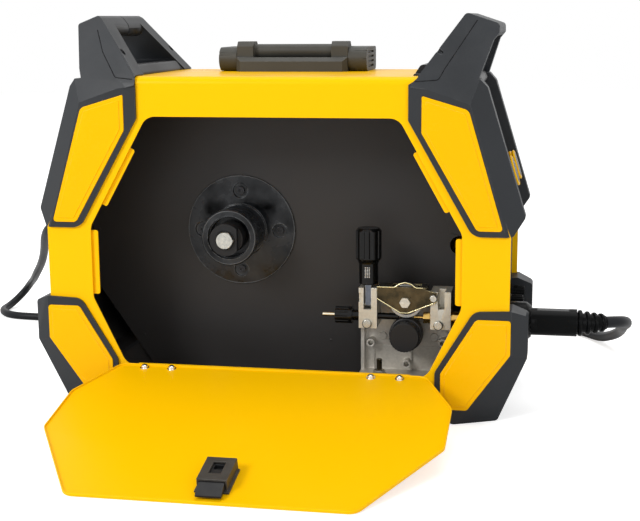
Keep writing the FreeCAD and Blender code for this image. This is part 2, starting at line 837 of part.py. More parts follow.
def handle_base():
    """Moulding with two posts, a cross tube and a pivot spigot on each side."""
    y0 = handle_base_front
    half = handle_base_half
    plan = [(handle_x - half, y0 + 5), (handle_x - half + 5, y0), (handle_x + half - 5, y0),
            (handle_x + half, y0 + 5), (handle_x + half, y0 + handle_base_depth),
            (handle_x - half, y0 + handle_base_depth)]
    z0 = body_top
    slab = prism_xy(plan, z0, z0 + handle_base_height)
    chamfer = prism_yz([(y0 - 1, z0 + handle_base_height - 5), (y0 + 6, z0 + handle_base_height + 1),
                        (y0 - 1, z0 + handle_base_height + 1)], handle_x - 90, handle_x + 90)
    slab = slab.cut(chamfer)
    parts = [slab]
    for side in (-1, 1):
        a, b = handle_x + side * half, handle_x + side * (half - post_width)
        left, right = min(a, b), max(a, b)
        profile = [(y0 + 8, z0), (y0 + 34, z0), (y0 + 34, z0 + post_height - 6),
                   (y0 + 28, z0 + post_height),
                   (y0 + 13, z0 + post_height), (y0 + 8, z0 + post_height - 5)]
        parts.append(prism_yz(profile, left, right))
        start = handle_x + side * (half - 1)
        parts.append(rod((start, bail_axis_y, bail_z), (side, 0, 0), bail_pin / 2, bail_width - 3.0))
    tube_z = z0 + handle_base_height + handle_tube / 2 - 1.0
    parts.append(rod_x(y0 + 22.0, tube_z, handle_tube / 2, handle_x - half + 5, handle_x + half - 5))
    return union(parts)


def handle_bail():
    """U-shaped grip lying folded back; its round ends sit on the spigots."""
    half = bail_height / 2
    inner = handle_base_half + fit
    arms = []
    for side in (-1, 1):
        a, b = handle_x + side * inner, handle_x + side * (inner + bail_width)
        left, right = min(a, b), max(a, b)
        eye = rod_x(bail_axis_y, bail_z, half, left, right)
        beam = block(left, right, bail_axis_y, bail_axis_y + bail_reach, bail_z - half, bail_z + half)
        arm = union([eye, beam])
        cuts = [rod((a - side, bail_axis_y, bail_z), (side, 0, 0), bail_pin / 2 + running,
                    bail_width - 1.0)]
        for row in range(bail_grooves):
            z = bail_z - half + 4.0 + row * 5.0
            x0, x1 = (b - 2.0, b + 1) if side > 0 else (b - 1, b + 2.0)
            cuts.append(block(x0, x1, bail_axis_y + 2.0, bail_axis_y + bail_reach - 6.0, z, z + 2.4))
        arms.append(arm.cut(cuts))
    grip = block(handle_x - inner - bail_width, handle_x + inner + bail_width,
                 bail_axis_y + bail_reach - 9.0,
                 bail_axis_y + bail_reach + 9.0, bail_z - half, bail_z + half)
    grip = grip.makeFillet(5.0, [e for e in grip.Edges if e.BoundBox.XLength > 50 and e.BoundBox.YMax > 95])
    return union(arms + [grip])


# Spool hub


def hub_screw_places():
    return [(hub_x + hub_screw_circle * math.cos(math.radians(90 * i)),
             hub_z + hub_screw_circle * math.sin(math.radians(90 * i))) for i in range(4)]


def hub_flange():
    """Round foot of the hub with four counterbored screw places and its spindle."""
    back, front = partition_face, partition_face - hub_flange_thick
    foot = turned([(0, 0), (hub_flange_radius, 0), (hub_flange_radius, 2.5),
                   (hub_boss_radius + 6, hub_flange_thick),
                   (0, hub_flange_thick)], (hub_x, back, hub_z), (0, -1, 0))
    ring = rod_y(hub_x, hub_z, hub_boss_radius + 4.0, front - 2.0, front + 1)
    spindle = rod_y(hub_x, hub_z, hub_spindle_radius, hub_boss_front + 8.0, front)
    cuts = []
    for x, z in hub_screw_places():
        cuts.append(rod_y(x, z, hub_screw_recess, front - 5, back - 1.8))
        cuts.append(rod_y(x, z, hub_screw_radius + 0.1, front - 5, back + 1))
    thread = rod_y(hub_x, hub_z, spindle_radius + 0.1, hub_boss_front - 20, front + 2)
    return union([foot, ring, spindle]).cut(cuts + [thread])


def hub_boss():
    """Turning tube that carries the spool."""
    start = partition_face - hub_flange_thick - 2.0 - fit
    outer = rod_y(hub_x, hub_z, hub_boss_radius, hub_boss_front, start)
    inner = rod_y(hub_x, hub_z, hub_boss_radius - hub_boss_wall, hub_boss_front - 1, start - 6.0)
    bore = rod_y(hub_x, hub_z, hub_spindle_radius + running, hub_boss_front - 1, start + 1)
    web = rod_y(hub_x, hub_z, hub_boss_radius - 1.0, hub_boss_front + 14.0, hub_boss_front + 18.0)
    return union([outer.cut(inner), web]).cut(bore)


def hub_ring():
    """Retaining ring pushed over the front of the boss."""
    y0 = hub_boss_front - 4.0
    ring = turned([(hub_boss_radius - 2.0, 0), (hub_ring_radius - 1.5, 0), (hub_ring_radius, 1.5),
                   (hub_ring_radius, hub_ring_length), (hub_boss_radius + 0.1, hub_ring_length),
                   (hub_boss_radius + 0.1, 4.0), (hub_boss_radius - 2.0, 4.0)], (hub_x, y0, hub_z),
                  (0, 1, 0))
    return ring


def hub_collar():
    """Brake collar with a flat, pressed by the bolt."""
    back = hub_boss_front + 8.0 - fit
    outer = rod_y(hub_x, hub_z, hub_collar_radius, hub_collar_front, back)
    cup = rod_y(hub_x, hub_z, hub_bolt_flats / math.sqrt(3) + 0.8, hub_collar_front - 1,
                hub_collar_front + 2.0)
    flat = block(hub_x + hub_collar_radius - 4.5, hub_x + 30, hub_collar_front - 1,
                 hub_collar_front + 8.0,
                 hub_z - 30, hub_z + 30)
    bore = rod_y(hub_x, hub_z, spindle_radius + 0.1, hub_collar_front - 1, back + 1)
    return outer.cut([cup, flat, bore])


def hub_bolt():
    head_back = hub_collar_front + 2.0
    head = hexagon_y(hub_x, hub_z, hub_bolt_flats, head_back - hub_bolt_head, head_back)
    ball = turned([(0, 0), (hub_bolt_flats / 2, 0), (hub_bolt_flats * 0.62, 2.2),
                   (hub_bolt_flats * 0.62, 20),
                   (0, 20)], (hub_x, head_back - hub_bolt_head, hub_z), (0, 1, 0))
    shank = rod_y(hub_x, hub_z, spindle_radius, head_back, partition_face - hub_flange_thick)
    return union([head.common(ball), shank])


# Wire drive

drive_z = wire_z - wire_gap / 2 - drive_radius
press_z = wire_z + wire_gap / 2 + press_radius
roll_front = wire_y - roll_width / 2
roll_back = wire_y + roll_width / 2
plate_back = plate_front + plate_thick


def feed_plate():
    """Die-cast plate with a rim, three screw bosses, flush pins and a foot for the earth stud."""
    plate = block(plate_left, plate_right, plate_front, plate_back, plate_bottom, plate_top)
    pad_z = [(inlet_left + 2, inlet_right), (outlet_left, outlet_right - 2)]
    parts = [plate]
    parts += [block(a, b, plate_front - 2.0, plate_front, inlet_bottom, plate_top) for a, b in pad_z]
    parts.append(block(plate_left, plate_left + 4.0, plate_front - 7.0, plate_front, plate_bottom,
                       inlet_bottom - fit))
    parts.append(block(plate_left, plate_left + 76.0, plate_front - 34.0, plate_front, plate_bottom,
                       plate_bottom + 4.0))
    for x, z in boss_places:
        parts.append(rod_y(x, z, boss_radius, plate_front - boss_length, plate_front))
        parts.append(rod_y(x, z, boss_radius, plate_back, partition_face))
    for x in (102.0, 157.0):
        parts.append(rod_y(x, 67.5, 4.4, plate_front - 1.6, plate_front))
    parts.append(block(plate_left + 4, plate_right, plate_front - 1.2, plate_front, plate_bottom,
                       ledge_top))
    parts.append(block(131.4, 133.4, plate_front - 3.6, plate_front, plate_bottom, ledge_top))
    parts.append(block(92.0, 93.6, plate_front - 3.0, plate_front, plate_bottom, ledge_top))
    cuts = [rod_y(x, z, 2.6, plate_front - boss_length - 1.0, plate_front - 1.0) for x, z in boss_places]
    cuts.append(rod_y(drive_x, drive_z, drive_shaft_radius + 8.0 + 0.4, plate_front - 2, plate_back + 1))
    within = inset(side_outline, [sheet + fit] + [end_recess + sheet + 1.0] * 7)
    return union(parts).cut(cuts).common(prism_xz(within, near, partition_face))


boss_places = [(90.2, 61.5), (167.0, 64.0), (128.7, 39.5)]


def gearmotor():
    """Gearbox and motor behind the partition, with the bearing boss that passes through."""
    back = partition_face + sheet
    half = gearbox_size / 2
    box_part = block(drive_x - half, drive_x + half, back, back + gearbox_depth, drive_z - half,
                     drive_z + half)
    box_part = box_part.makeFillet(6.0, [e for e in box_part.Edges if e.BoundBox.YLength > 10])
    motor = turned([(0, 0), (motor_radius - 3, 0), (motor_radius, 3), (motor_radius, motor_length - 4),
                    (motor_radius - 4, motor_length), (0, motor_length)],
                   (drive_x, back + gearbox_depth, drive_z), (0, 1, 0))
    boss = rod_y(drive_x, drive_z, drive_shaft_radius + 7.6, plate_front + 1.0, back)
    bore = rod_y(drive_x, drive_z, drive_shaft_radius + running, plate_front, back + gearbox_depth - 4.0)
    return union([box_part, motor, boss]).cut(bore)


def inlet_block():
    """Clamp block with the slot that the tension screw stands in."""
    body = block(inlet_left, inlet_right, block_front, plate_front - 2.0, inlet_bottom, inlet_top)
    slot = block(stem_x - slot_width / 2, stem_x + slot_width / 2, block_front - 1, wire_y + 8.0,
                 slot_floor, inlet_top + 1)
    bore = rod_x(wire_y, wire_z, guide_radius + 0.1, inlet_left - 1, inlet_right + 1)
    notch = block(inlet_left - 1, inlet_left + 2.0, block_front - 1, block_front + 3, slot_floor + 8,
                  inlet_top - 6)
    finger_room = block(stem_x - slot_width / 2, inlet_right + 1, wire_y + 5.0, wire_y + 14.0,
                        inlet_top - 1.0, inlet_top + 1)
    pin = rod_x(wire_y, stem_pivot_z, stem_pin_radius, stem_x - slot_width / 2 - 1,
                stem_x + slot_width / 2 + 1)
    tap = rod_y(stem_x, inlet_bottom + 5.2, 2.4, block_front - 1, block_front + 6)
    return union([body.cut([slot, bore, notch, finger_room, tap]), pin])


def outlet_block():
    body = block(outlet_left, outlet_right, block_front, plate_front - 2.0, outlet_bottom, outlet_top)
    slot = block(outlet_left + 7.5, outlet_left + 14.5, block_front - 1, wire_y + 8.0, 104.5,
                 outlet_top + 1)
    bore = rod_x(wire_y, wire_z, guide_radius + 0.1, outlet_left - 1, outlet_right + 1)
    pivot = rod_y(pivot_x, pivot_z, pivot_screw_radius + 0.1, block_front - 1, block_front + 12)
    tap = rod_y(outlet_left + 8.5, outlet_bottom + 5.0, 2.4, block_front - 1, block_front + 6)
    return body.cut([slot, bore, pivot, tap])


def pressure_arm():
    """Folded arm: two V-shaped cheeks under a flat web with a window for the roller."""
    front = block_front - fit - arm_sheet
    back = roll_back + fit + 2.0
    web_z = arm_top - arm_sheet
    cheek = [(arm_left, web_z - 11.0), (drive_x - 5.0, press_z - 11.5), (drive_x + 3.0, press_z - 11.5),
             (pivot_x + 3.5, pivot_z - 4.0), (pivot_x + 3.5, pivot_z + 5.5), (pivot_x - 11.0, web_z),
             (arm_left, web_z)]
    front_cheek = prism_xz(cheek, front, front + arm_sheet)
    short = [(arm_left, web_z - 6.0), (drive_x - 5.0, press_z - 8.0), (drive_x + 3.0, press_z - 8.0),
             (outlet_left - 4.0, web_z - 8.0), (outlet_left - 4.0, web_z), (arm_left, web_z)]
    back_cheek = prism_xz(short, back, back + arm_sheet)
    web = block(arm_left, outlet_left - 4.0, front, back + arm_sheet, web_z, arm_top)
    finger = block(stem_x - 1.0, arm_left + 1.0, wire_y + arm_catch, back + arm_sheet, web_z, arm_top)
    window = block(drive_x - 15.0, drive_x + 15.0, roll_front - 1.0, roll_back + 1.0, web_z - 1,
                   arm_top + 1)
    pivot = rod_y(pivot_x, pivot_z, pivot_screw_radius + running, front - 1, front + arm_sheet + 1)
    axle = rod_y(drive_x, press_z, roller_axle_radius + running, front - 1, back + arm_sheet + 1)
    return union([front_cheek, back_cheek, web, finger]).cut([window, pivot, axle])


def roller_bolt():
    front = block_front - fit - arm_sheet
    back = roll_back + fit + 2.0 + arm_sheet
    head = hexagon_y(drive_x, press_z, 10.0, front - 4.0, front)
    nut = hexagon_y(drive_x, press_z, 8.0, back, back + 3.5)
    return union([head, nut, rod_y(drive_x, press_z, roller_axle_radius, front, back)])


def pressure_roller():
    outer = rod_y(drive_x, press_z, press_radius, roll_front, roll_back)
    groove = turned([(press_radius - 6.0, 0), (press_radius - 3.0, 0), (press_radius - 4.0, 1.2),
                     (press_radius - 5.0, 1.2)], (drive_x, roll_front, press_z), (0, 1, 0))
    bore = rod_y(drive_x, press_z, roller_axle_radius + running, roll_front - 1, roll_back + 1)
    return outer.cut([groove, bore])


def drive_roll():
    """Grooved roll and its shaft."""
    r = drive_radius
    mid = roll_width / 2
    roll = turned([(drive_shaft_radius - 1, 0), (r - 0.8, 0), (r, 0.8), (r, mid - 1.0), (r - 1.0, mid),
                   (r, mid + 1.0),
                   (r, roll_width - 0.8), (r - 0.8, roll_width), (drive_shaft_radius - 1, roll_width)],
                  (drive_x, roll_front, drive_z), (0, 1, 0))
    shaft = rod_y(drive_x, drive_z, drive_shaft_radius, roll_front - 2.0,
                  partition_face + gearbox_depth - 6.0)
    stud = rod_y(drive_x, drive_z, 3.0, roll_front - 8.0, roll_front)
    return union([roll, shaft, stud])


def drive_cap():
    """Knurled cap nut on the end of the drive shaft."""
    y1 = roll_front - 0.1
    y0 = y1 - cap_length
    body = turned([(0, 0), (cap_radius - 1.2, 0), (cap_radius, 1.2), (cap_radius, cap_length),
                   (0, cap_length)],
                  (drive_x, y0, drive_z), (0, 1, 0))
    cuts = [rod_y(drive_x, drive_z, 3.05, y1 - 8.0, y1 + 1),
            rod_y(drive_x, drive_z, 5.1, y1 - 2.0, y1 + 1)]
    for i in range(cap_flutes):
        angle = 2 * math.pi * i / cap_flutes
        cuts.append(rod_y(drive_x + (cap_radius + 0.45) * math.cos(angle),
                          drive_z + (cap_radius + 0.45) * math.sin(angle),
                          1.0, y0 - 1, y1 - 2.5))
    return body.cut(cuts)


def inlet_guide():
    """Black wire inlet: knurled nut, collar, and the tube that passes through its block."""
    nut = rod_x(wire_y, wire_z, 9.0, 55.0, 73.0)
    flutes = [rod((54, wire_y + 9.3 * math.cos(math.radians(30 * i)),
                   wire_z + 9.3 * math.sin(math.radians(30 * i))),
                  (1, 0, 0), 0.9, 15.0) for i in range(12)]
    collar = rod_x(wire_y, wire_z, 5.6, 73.0, inlet_left)
    tube = rod_x(wire_y, wire_z, guide_radius, inlet_left, drive_x - 8.0)
    bore = rod_x(wire_y, wire_z, 2.3, 54.0, 75.0)
    channel = rod_x(wire_y, wire_z, 1.0, 74.0, drive_x)
    nose = inlet_nose()
    return union([nut.cut(flutes), collar, tube]).cut([bore, channel] + nose)


def inlet_nose():
    """Room for the two rollers at the end of a guide tube."""
    gap = 0.5
    return [rod_y(drive_x, drive_z, drive_radius + gap, roll_front - 1, roll_back + 1),
            rod_y(drive_x, press_z, press_radius + gap, roll_front - 1, roll_back + 1)]


def guide_tubes():
    """Brass parts of the wire path: inlet liner end, outlet tube with its nut and fitting."""
    liner = rod_x(wire_y, wire_z, 2.2, 41.0, 75.0 - 0.2).cut(rod_x(wire_y, wire_z, 1.1, 40.0, 76.0))
    outlet = union([rod_x(wire_y, wire_z, 1.7, drive_x + 8.0, outlet_left - 8.0),
                    hexagon_x(wire_y, wire_z, 11.0, outlet_left - 8.0, outlet_left - 1.0),
                    rod_x(wire_y, wire_z, guide_radius, outlet_left - 1.0, outlet_right + 1.0),
                    rod_x(wire_y, wire_z, 7.4, outlet_right, outlet_right + 12.0),
                    hexagon_x(wire_y, wire_z, 17.0, outlet_right + 12.0, outlet_right + 22.0),
                    rod_x(wire_y, wire_z, 7.4, outlet_right + 22.0, knee_half - end_recess - panel_wall)])
    outlet = outlet.cut([rod_x(wire_y, wire_z, 0.9, drive_x, knee_half)] + inlet_nose())
    return [liner, outlet]


def tension_stem():
    """Flat link on the block's pin that rises into the threaded stem."""
    link = block(stem_x - 3.2, stem_x + 3.2, wire_y - 3.2, wire_y + 3.2, stem_pivot_z, sleeve_bottom)
    eye = rod_x(wire_y, stem_pivot_z, 3.2, stem_x - 3.2, stem_x + 3.2)
    stem = rod((stem_x, wire_y, sleeve_bottom - 1), (0, 0, 1), stem_radius,
               knob_top - sleeve_bottom - 9.0)
    hole = rod_x(wire_y, stem_pivot_z, stem_pin_radius + running, stem_x - 5, stem_x + 5)
    return union([link, eye, stem]).cut(hole)


def tension_knob():
    """Scaled sleeve with its fluted cap, threaded on the stem."""
    profile = [(0, 0), (sleeve_radius - 0.8, 0), (sleeve_radius, 0.8),
               (sleeve_radius, sleeve_top - sleeve_bottom - 3.0),
               (knob_radius - 2.0, sleeve_top - sleeve_bottom),
               (knob_radius, sleeve_top - sleeve_bottom + 2.5),
               (knob_radius, knob_top - sleeve_bottom - 3.0),
               (knob_radius - 2.2, knob_top - sleeve_bottom),
               (0, knob_top - sleeve_bottom)]
    body = turned(profile, (stem_x, wire_y, sleeve_bottom), (0, 0, 1))
    cuts = [rod((stem_x, wire_y, sleeve_bottom - 1), (0, 0, 1), stem_radius + running,
                knob_top - sleeve_bottom - 8.0)]
    for i in range(knob_flutes):
        angle = 2 * math.pi * i / knob_flutes
        x, y = stem_x + (knob_radius + 1.6) * math.cos(angle), wire_y + (knob_radius + 1.6) * math.sin(angle)
        cuts.append(rod((x, y, sleeve_top + 3.5), (0, 0, 1), 2.6, knob_top - sleeve_top))
    return body.cut(cuts)


def fixing_screws():
    """Fixed fasteners: hub, guide blocks, arm pivot, feed plate and the earth stud."""
    made = []
    for x, z in hub_screw_places():
        seat = partition_face - 1.8
        head = rod_y(x, z, 4.4, seat - 3.2, seat).cut(hexagon_y(x, z, 3.4, seat - 4, seat - 1.4))
        made.append(union([head, rod_y(x, z, hub_screw_radius, seat, partition_face + sheet + 4.0)]))
    for x, z in ((stem_x, inlet_bottom + 5.2), (outlet_left + 8.5, outlet_bottom + 5.0)):
        head = turned([(0, 0), (4.9, 0), (4.9, 3.0), (4.0, 3.8), (0, 3.8)], (x, block_front, z),
                      (0, -1, 0))
        made.append(union([head, rod_y(x, z, 2.3, block_front, block_front + 5.0)]))
    front = block_front - fit - arm_sheet
    head = turned([(0, 0), (4.2, 0), (4.2, 2.4), (3.2, 3.4), (0, 3.4)], (pivot_x, front - 0.2, pivot_z),
                  (0, -1, 0))
    made.append(union([head, rod_y(pivot_x, pivot_z, pivot_screw_radius, front - 0.2, block_front + 11)]))
    for x, z in boss_places:
        face = plate_front - 1.0
        made.append(rod_y(x, z, 2.5, face - 2.5, face).cut(hexagon_y(x, z, 2.6, face - 3, face - 1.0)))
    x, y = 102.0, -44.0
    foot = plate_bottom + 4.0
    stud = rod((x, y, foot), (0, 0, 1), 2.9, 18.0)
    washer = rod((x, y, foot), (0, 0, 1), 8.6, 1.4)
    nut_points = [(x + 6.4 * math.cos(math.radians(60 * i)),
                   y + 6.4 * math.sin(math.radians(60 * i))) for i in range(6)]
    made.append(union([stud, washer, prism_xy(nut_points, foot + 1.4, foot + 6.0)]))
    return made


# Console fittings, sockets and rear fittings

knob_places = [(44.0, -28.0), (44.0, 28.0)]


def control_knob(up, y):
    body = slope_cylinder(up, y, control_knob_radius, 0.6, control_knob_length)
    edge = [e for e in body.Edges if e.CenterOfMass.distanceToPoint(on_slope(up,
                                                                             y)) > control_knob_length - 1]
    body = body.makeFillet(2.0, edge[:1])
    cuts = [slope_cylinder(up, y, control_shaft_radius + running, -1, 10.0)]
    for i in range(12):
        angle = 2 * math.pi * i / 12
        offset = control_knob_radius + 0.9
        cuts.append(slope_cylinder(up + offset * math.sin(angle), y + offset * math.cos(angle), 1.8, 3.0,
                                   20))
    return body.cut(cuts)


def control_shafts():
    return [slope_cylinder(up, y, control_shaft_radius, -console_wall - 0.2, 9.0 + console_wall) for up,
            y in knob_places]


def display_window():
    return slope_block(98.0, 0, 34.0, 84.0, -1.4, 10.0)


def front_panel():
    panel = end_panel()
    face = fascia_face
    holes = [rod_x(y, socket_z, socket_radius - 0.8, face - 8, face + 2) for y in socket_places()]
    holes.append(rod_x(wire_y, wire_z, 12.0, face - 8, face + 2))
    return union([panel.cut(holes + [display_window()])] + control_shafts())


def display_lens():
    return slope_block(98.0, 0, 34.0 - 2 * fit, 84.0 - 2 * fit, -1.4, 1.6)


def socket_places():
    return [socket_y, socket_y + socket_pitch]


def front_sockets():
    """Two bayonet sockets for the welding leads and the torch receptacle."""
    face = fascia_face
    made = []
    for y in socket_places():
        body = union([rod_x(y, socket_z, socket_radius - 1.0, face - 6.0, face + 1),
                      rod_x(y, socket_z, socket_radius + 1.6, face, face + 3.0),
                      rod_x(y, socket_z, socket_radius, face + 3.0, face + socket_reach)])
        key = block(face + 3, face + socket_reach + 1, y - 1.5, y + 1.5, socket_z + socket_bore - 1.0,
                    socket_z + socket_bore + 1.4)
        made.append(body.cut([rod_x(y, socket_z, socket_bore, face - 4.0, face + socket_reach + 1), key]))
    plate = block(face, face + 3.0, wire_y - 20, wire_y + 20, wire_z - 20, wire_z + 20)
    plate = plate.makeFillet(4.0, [e for e in plate.Edges if e.BoundBox.XLength > 2])
    flange = union([plate, rod_x(wire_y, wire_z, 15.5, face + 3.0, face + 8.0),
                    rod_x(wire_y, wire_z, 11.8, face - 8.0, face)])
    made.append(flange.cut(rod_x(wire_y, wire_z, 8.0, face - 9, face + 9)))
    return made


def rear_panel():
    """The same moulding at the rear, with the fan opening, its spider and the fittings' holes."""
    panel = mirrored(end_panel(), x=True)
    face = -(knee_half - end_recess)
    grille = [fan_ring_gap(face, 9.0 + 7.0 * i) for i in range(4)]
    holes = [rod_x(gland_y, gland_z, 8.0, face - 2, face + 8),
             rod_x(gas_y, gas_z, 5.0, face - 2, face + 8)]
    switch = mirrored(slope_block(switch_up, 0, switch_height, switch_width, -8, 20), x=True)
    motor = rod_x(fan_y, fan_z, fan_hub_radius - 2.0, face + panel_wall, face + panel_wall + 6.0)
    shaft = rod_x(fan_y, fan_z, fan_shaft_radius, face + panel_wall + 5.0, face + 24.0)
    return union([panel.cut(grille + holes + [switch]), motor, shaft, switch_pin(switch_pin_radius)])


def fan_ring_gap(face, radius):
    """Ring of slots in the fan grille, broken by four spokes."""
    ring = rod_x(fan_y, fan_z, radius + 4.6, face - 1, face + panel_wall + 1)
    ring = ring.cut(rod_x(fan_y, fan_z, radius, face - 2, face + panel_wall + 2))
    spokes = [block(face - 2, face + 5, fan_y - 2, fan_y + 2, fan_z - 60, fan_z + 60),
              block(face - 2, face + 5, fan_y - 60, fan_y + 60, fan_z - 2, fan_z + 2)]
    return ring.cut(spokes)


def fan_rotor():
    """Axial fan wheel with pitched blades on a cup-shaped hub."""
    face = -(knee_half - end_recess) + panel_wall + 6.5
    hub = rod_x(fan_y, fan_z, fan_hub_radius, face, face + 18.0)
    hub = hub.cut([rod_x(fan_y, fan_z, fan_shaft_radius + running, face - 1, face + 20)])
    blades = []
    for i in range(fan_blades):
        blade = block(-1.0, 1.0, -9.0, 9.0, fan_hub_radius - 2.0, fan_radius - 1.0)
        blade.rotate(Vector(0, 0, 0), Vector(0, 0, 1), 52)
        blade.rotate(Vector(0, 0, 0), Vector(1, 0, 0), 360.0 / fan_blades * i)
        blade.translate(Vector(face + 9.0, fan_y, fan_z))
        blades.append(blade)
    return union([hub] + blades)


def switch_pin(radius):
    """Pin across the switch slot, inside the thickness of the wall."""
    half = switch_width / 2 + 1.0
    pin = Part.makeCylinder(radius, 2 * half, on_slope(switch_up, -half) - slope_out * switch_pin_depth,
                            Vector(0, 1, 0))
    return mirrored(pin, x=True)


def mains_switch():
    """Rocker, tipped to its off side at rest."""
    low = -5.0
    end, side = switch_height / 2 - 1.4, switch_width / 2 - 0.4
    profile = [(-end, low), (end, low), (end, 2.2), (0, 0.6), (-end, 5.0)]
    points = [on_slope(switch_up + u, -side) + slope_out * h for u, h in profile]
    body = Part.Face(Part.makePolygon(points + [points[0]])).extrude(Vector(0, 2 * side, 0))
    return mirrored(body, x=True).cut(switch_pin(switch_pin_radius + running))


def mains_gland():
    face = -(knee_half - end_recess)
    body = union([rod((face + 6.0, gland_y, gland_z), (-1, 0, 0), 7.8, 7.0),
                  hexagon_x(gland_y, gland_z, 2 * gland_radius - 1.0, face - 7.0, face),
                  turned([(0, 0), (gland_radius, 0), (gland_radius, 9.0),
                          (gland_radius - 4.0, gland_length - 7.0),
                          (0, gland_length - 7.0)], (face - 7.0, gland_y, gland_z), (-1, 0, 0))])
    return body


def gas_inlet():
    face = -(knee_half - end_recess)
    body = union([rod((face + 6.0, gas_y, gas_z), (-1, 0, 0), 4.8, 7.0),
                  hexagon_x(gas_y, gas_z, 14.0, face - 6.0, face),
                  turned([(0, 0), (4.5, 0), (4.5, 4), (3.6, 4), (4.6, 8), (3.6, 8), (4.6, 12), (3.6, 12),
                          (4.0, 18),
                          (0, 18)], (face - 6.0, gas_y, gas_z), (-1, 0, 0))])
    return body.cut(rod((face - 30, gas_y, gas_z), (1, 0, 0), 2.2, 40))


def inverter_module():
    """Power unit in the far compartment: board, heat sink, transformer and capacitors."""
    y0 = partition_face + sheet
    board = block(-150, 50, y0 + 12, y0 + 14, 120, 300)
    spacers = [rod_y(x, z, 3.0, y0, y0 + 12) for x in (-140, 40) for z in (130, 290)]
    base = block(-140, -30, y0 + 14, y0 + 20, 170, 290)
    fins = [block(-140 + 10.7 * i, -137 + 10.7 * i, y0 + 20, y0 + 62, 170, 290) for i in range(11)]
    coil = block(-15, 40, y0 + 14, y0 + 60, 225, 285)
    cans = [rod_y(-5 + 30 * i, 185, 12, y0 + 14, y0 + 55) for i in range(2)]
    return union([board] + spacers + [base] + fins + [coil] + cans)


# Torch end: nut, sleeve and the ribbed boot that turns back with the lead


def torch_sleeve():
    face = knee_half - end_recess + 3.2
    nut = turned([(0, 0), (nut_radius - 1.5, 0), (nut_radius, 1.5), (nut_radius, nut_front - face - 5.0),
                  (nut_radius - 4.0, nut_front - face), (0, nut_front - face)], (face, wire_y, wire_z),
                 (1, 0, 0))
    socket = rod_x(wire_y, wire_z, 15.8, face - 1, face + 6.0)
    barrel = rod_x(wire_y, wire_z, torch_sleeve_radius, nut_front, sleeve_end)
    flats = [block(nut_front + 6, sleeve_end - 8, wire_y - 30, wire_y + 30,
                   wire_z + torch_sleeve_radius - 1.0, wire_z + 30),
             block(nut_front + 6, sleeve_end - 8, wire_y - 30, wire_y - torch_sleeve_radius + 1.0,
                   wire_z - 30, wire_z + 30)]
    return union([nut.cut(socket), barrel.cut(flats)])


boot_centre = Vector(sleeve_end, wire_y + boot_radius, wire_z)


def boot_point(angle):
    """Point and heading on the boot's bend, angle in degrees from the sleeve."""
    a = math.radians(angle)
    point = boot_centre + Vector(math.sin(a), -math.cos(a), 0) * boot_radius
    return point, Vector(math.cos(a), math.sin(a), 0)


def torch_boot():
    """Tapering strain relief with four ribs, bent with the lead."""
    steps = 2 * boot_ribs
    discs = []
    for i in range(steps + 1):
        point, heading = boot_point(boot_turn * i / steps)
        radius = 10.8 - 3.4 * i / steps
        discs.append(Part.Wire(Part.makeCircle(radius, point, heading)))
    core = Part.makeLoft(discs, True, True)
    ribs = []
    for i in range(boot_ribs):
        point, heading = boot_point(boot_turn * (i + 0.42) / boot_ribs)
        radius = 13.4 - 1.3 * i
        rings = [(-2.3, radius - 1.3), (-1.1, radius), (1.1, radius), (2.3, radius - 1.3)]
        circles = [Part.Wire(Part.makeCircle(r, point + heading * shift, heading)) for shift, r in rings]
        ribs.append(Part.makeLoft(circles, True, True))
    return union([core] + ribs)


# Cords


def tube_path(points, diameter):
    """Straight runs joined by tangent arcs as large as the runs allow."""
    edges = []
    radii = []
    start = points[0]
    for i in range(1, len(points) - 1):
        before, point, after = points[i - 1], points[i], points[i + 1]
        run = min((before - point).Length, (after - point).Length)
        turn = math.pi - (before - point).getAngle(after - point)
        radius = 0.45 * run / math.tan(turn / 2)
        radii.append(radius)
        a, middle, b = corner(before, point, after, radius)
        edges.append(Part.LineSegment(start, a).toShape())
        edges.append(Part.Arc(a, middle, b).toShape())
        start = b
    edges.append(Part.LineSegment(start, points[-1]).toShape())
    wire = Part.Wire(edges)
    tightest = min(radii)
    print(f"  radii from {tightest:.0f} mm, {tightest / diameter:.1f} diameters; length {wire.Length:.0f} mm")
    return wire


def tube(wire, diameter, start, heading):
    circle = Part.Wire(Part.makeCircle(diameter / 2, start, heading))
    solid = wire.makePipeShell([circle], True, False)
    share = solid.Volume / (math.pi * diameter ** 2 / 4 * wire.Length)
    print(f"  volume over section times length {share:.4f}")
    return solid


def arc_through(start, heading, end):
    """Arc from a point along a heading to an end point."""
    chord = end - start
    across = chord - heading * chord.dot(heading)
    if across.Length < 1e-6:
        return Part.LineSegment(start, end).toShape()
    across.normalize()
    radius = chord.dot(chord) / (2 * chord.dot(across))
    centre = start + across * radius
    middle = ((start - centre) + (end - centre)).normalize() * radius
    if heading.dot(middle) < 0:
        middle = -middle
    return Part.Arc(start, centre + middle, end).toShape()


def biarc(start, heading, end, end_heading):
    """Two tangent arcs between two points with given headings."""
    chord = end - start
    total = heading + end_heading
    away = 2 * (1 - heading.dot(end_heading))
    along = chord.dot(total)
    reach = (-along + math.sqrt(along ** 2 + away * chord.dot(chord))) / away
    joint = (start + end + (heading - end_heading) * reach) * 0.5
    first = arc_through(start, heading, joint)
    back = arc_through(end, -end_heading, joint)
    points = back.valueAt(back.LastParameter), back.valueAt((back.FirstParameter + back.LastParameter) / 2)
    return [first, Part.Arc(joint, points[1], end).toShape()]


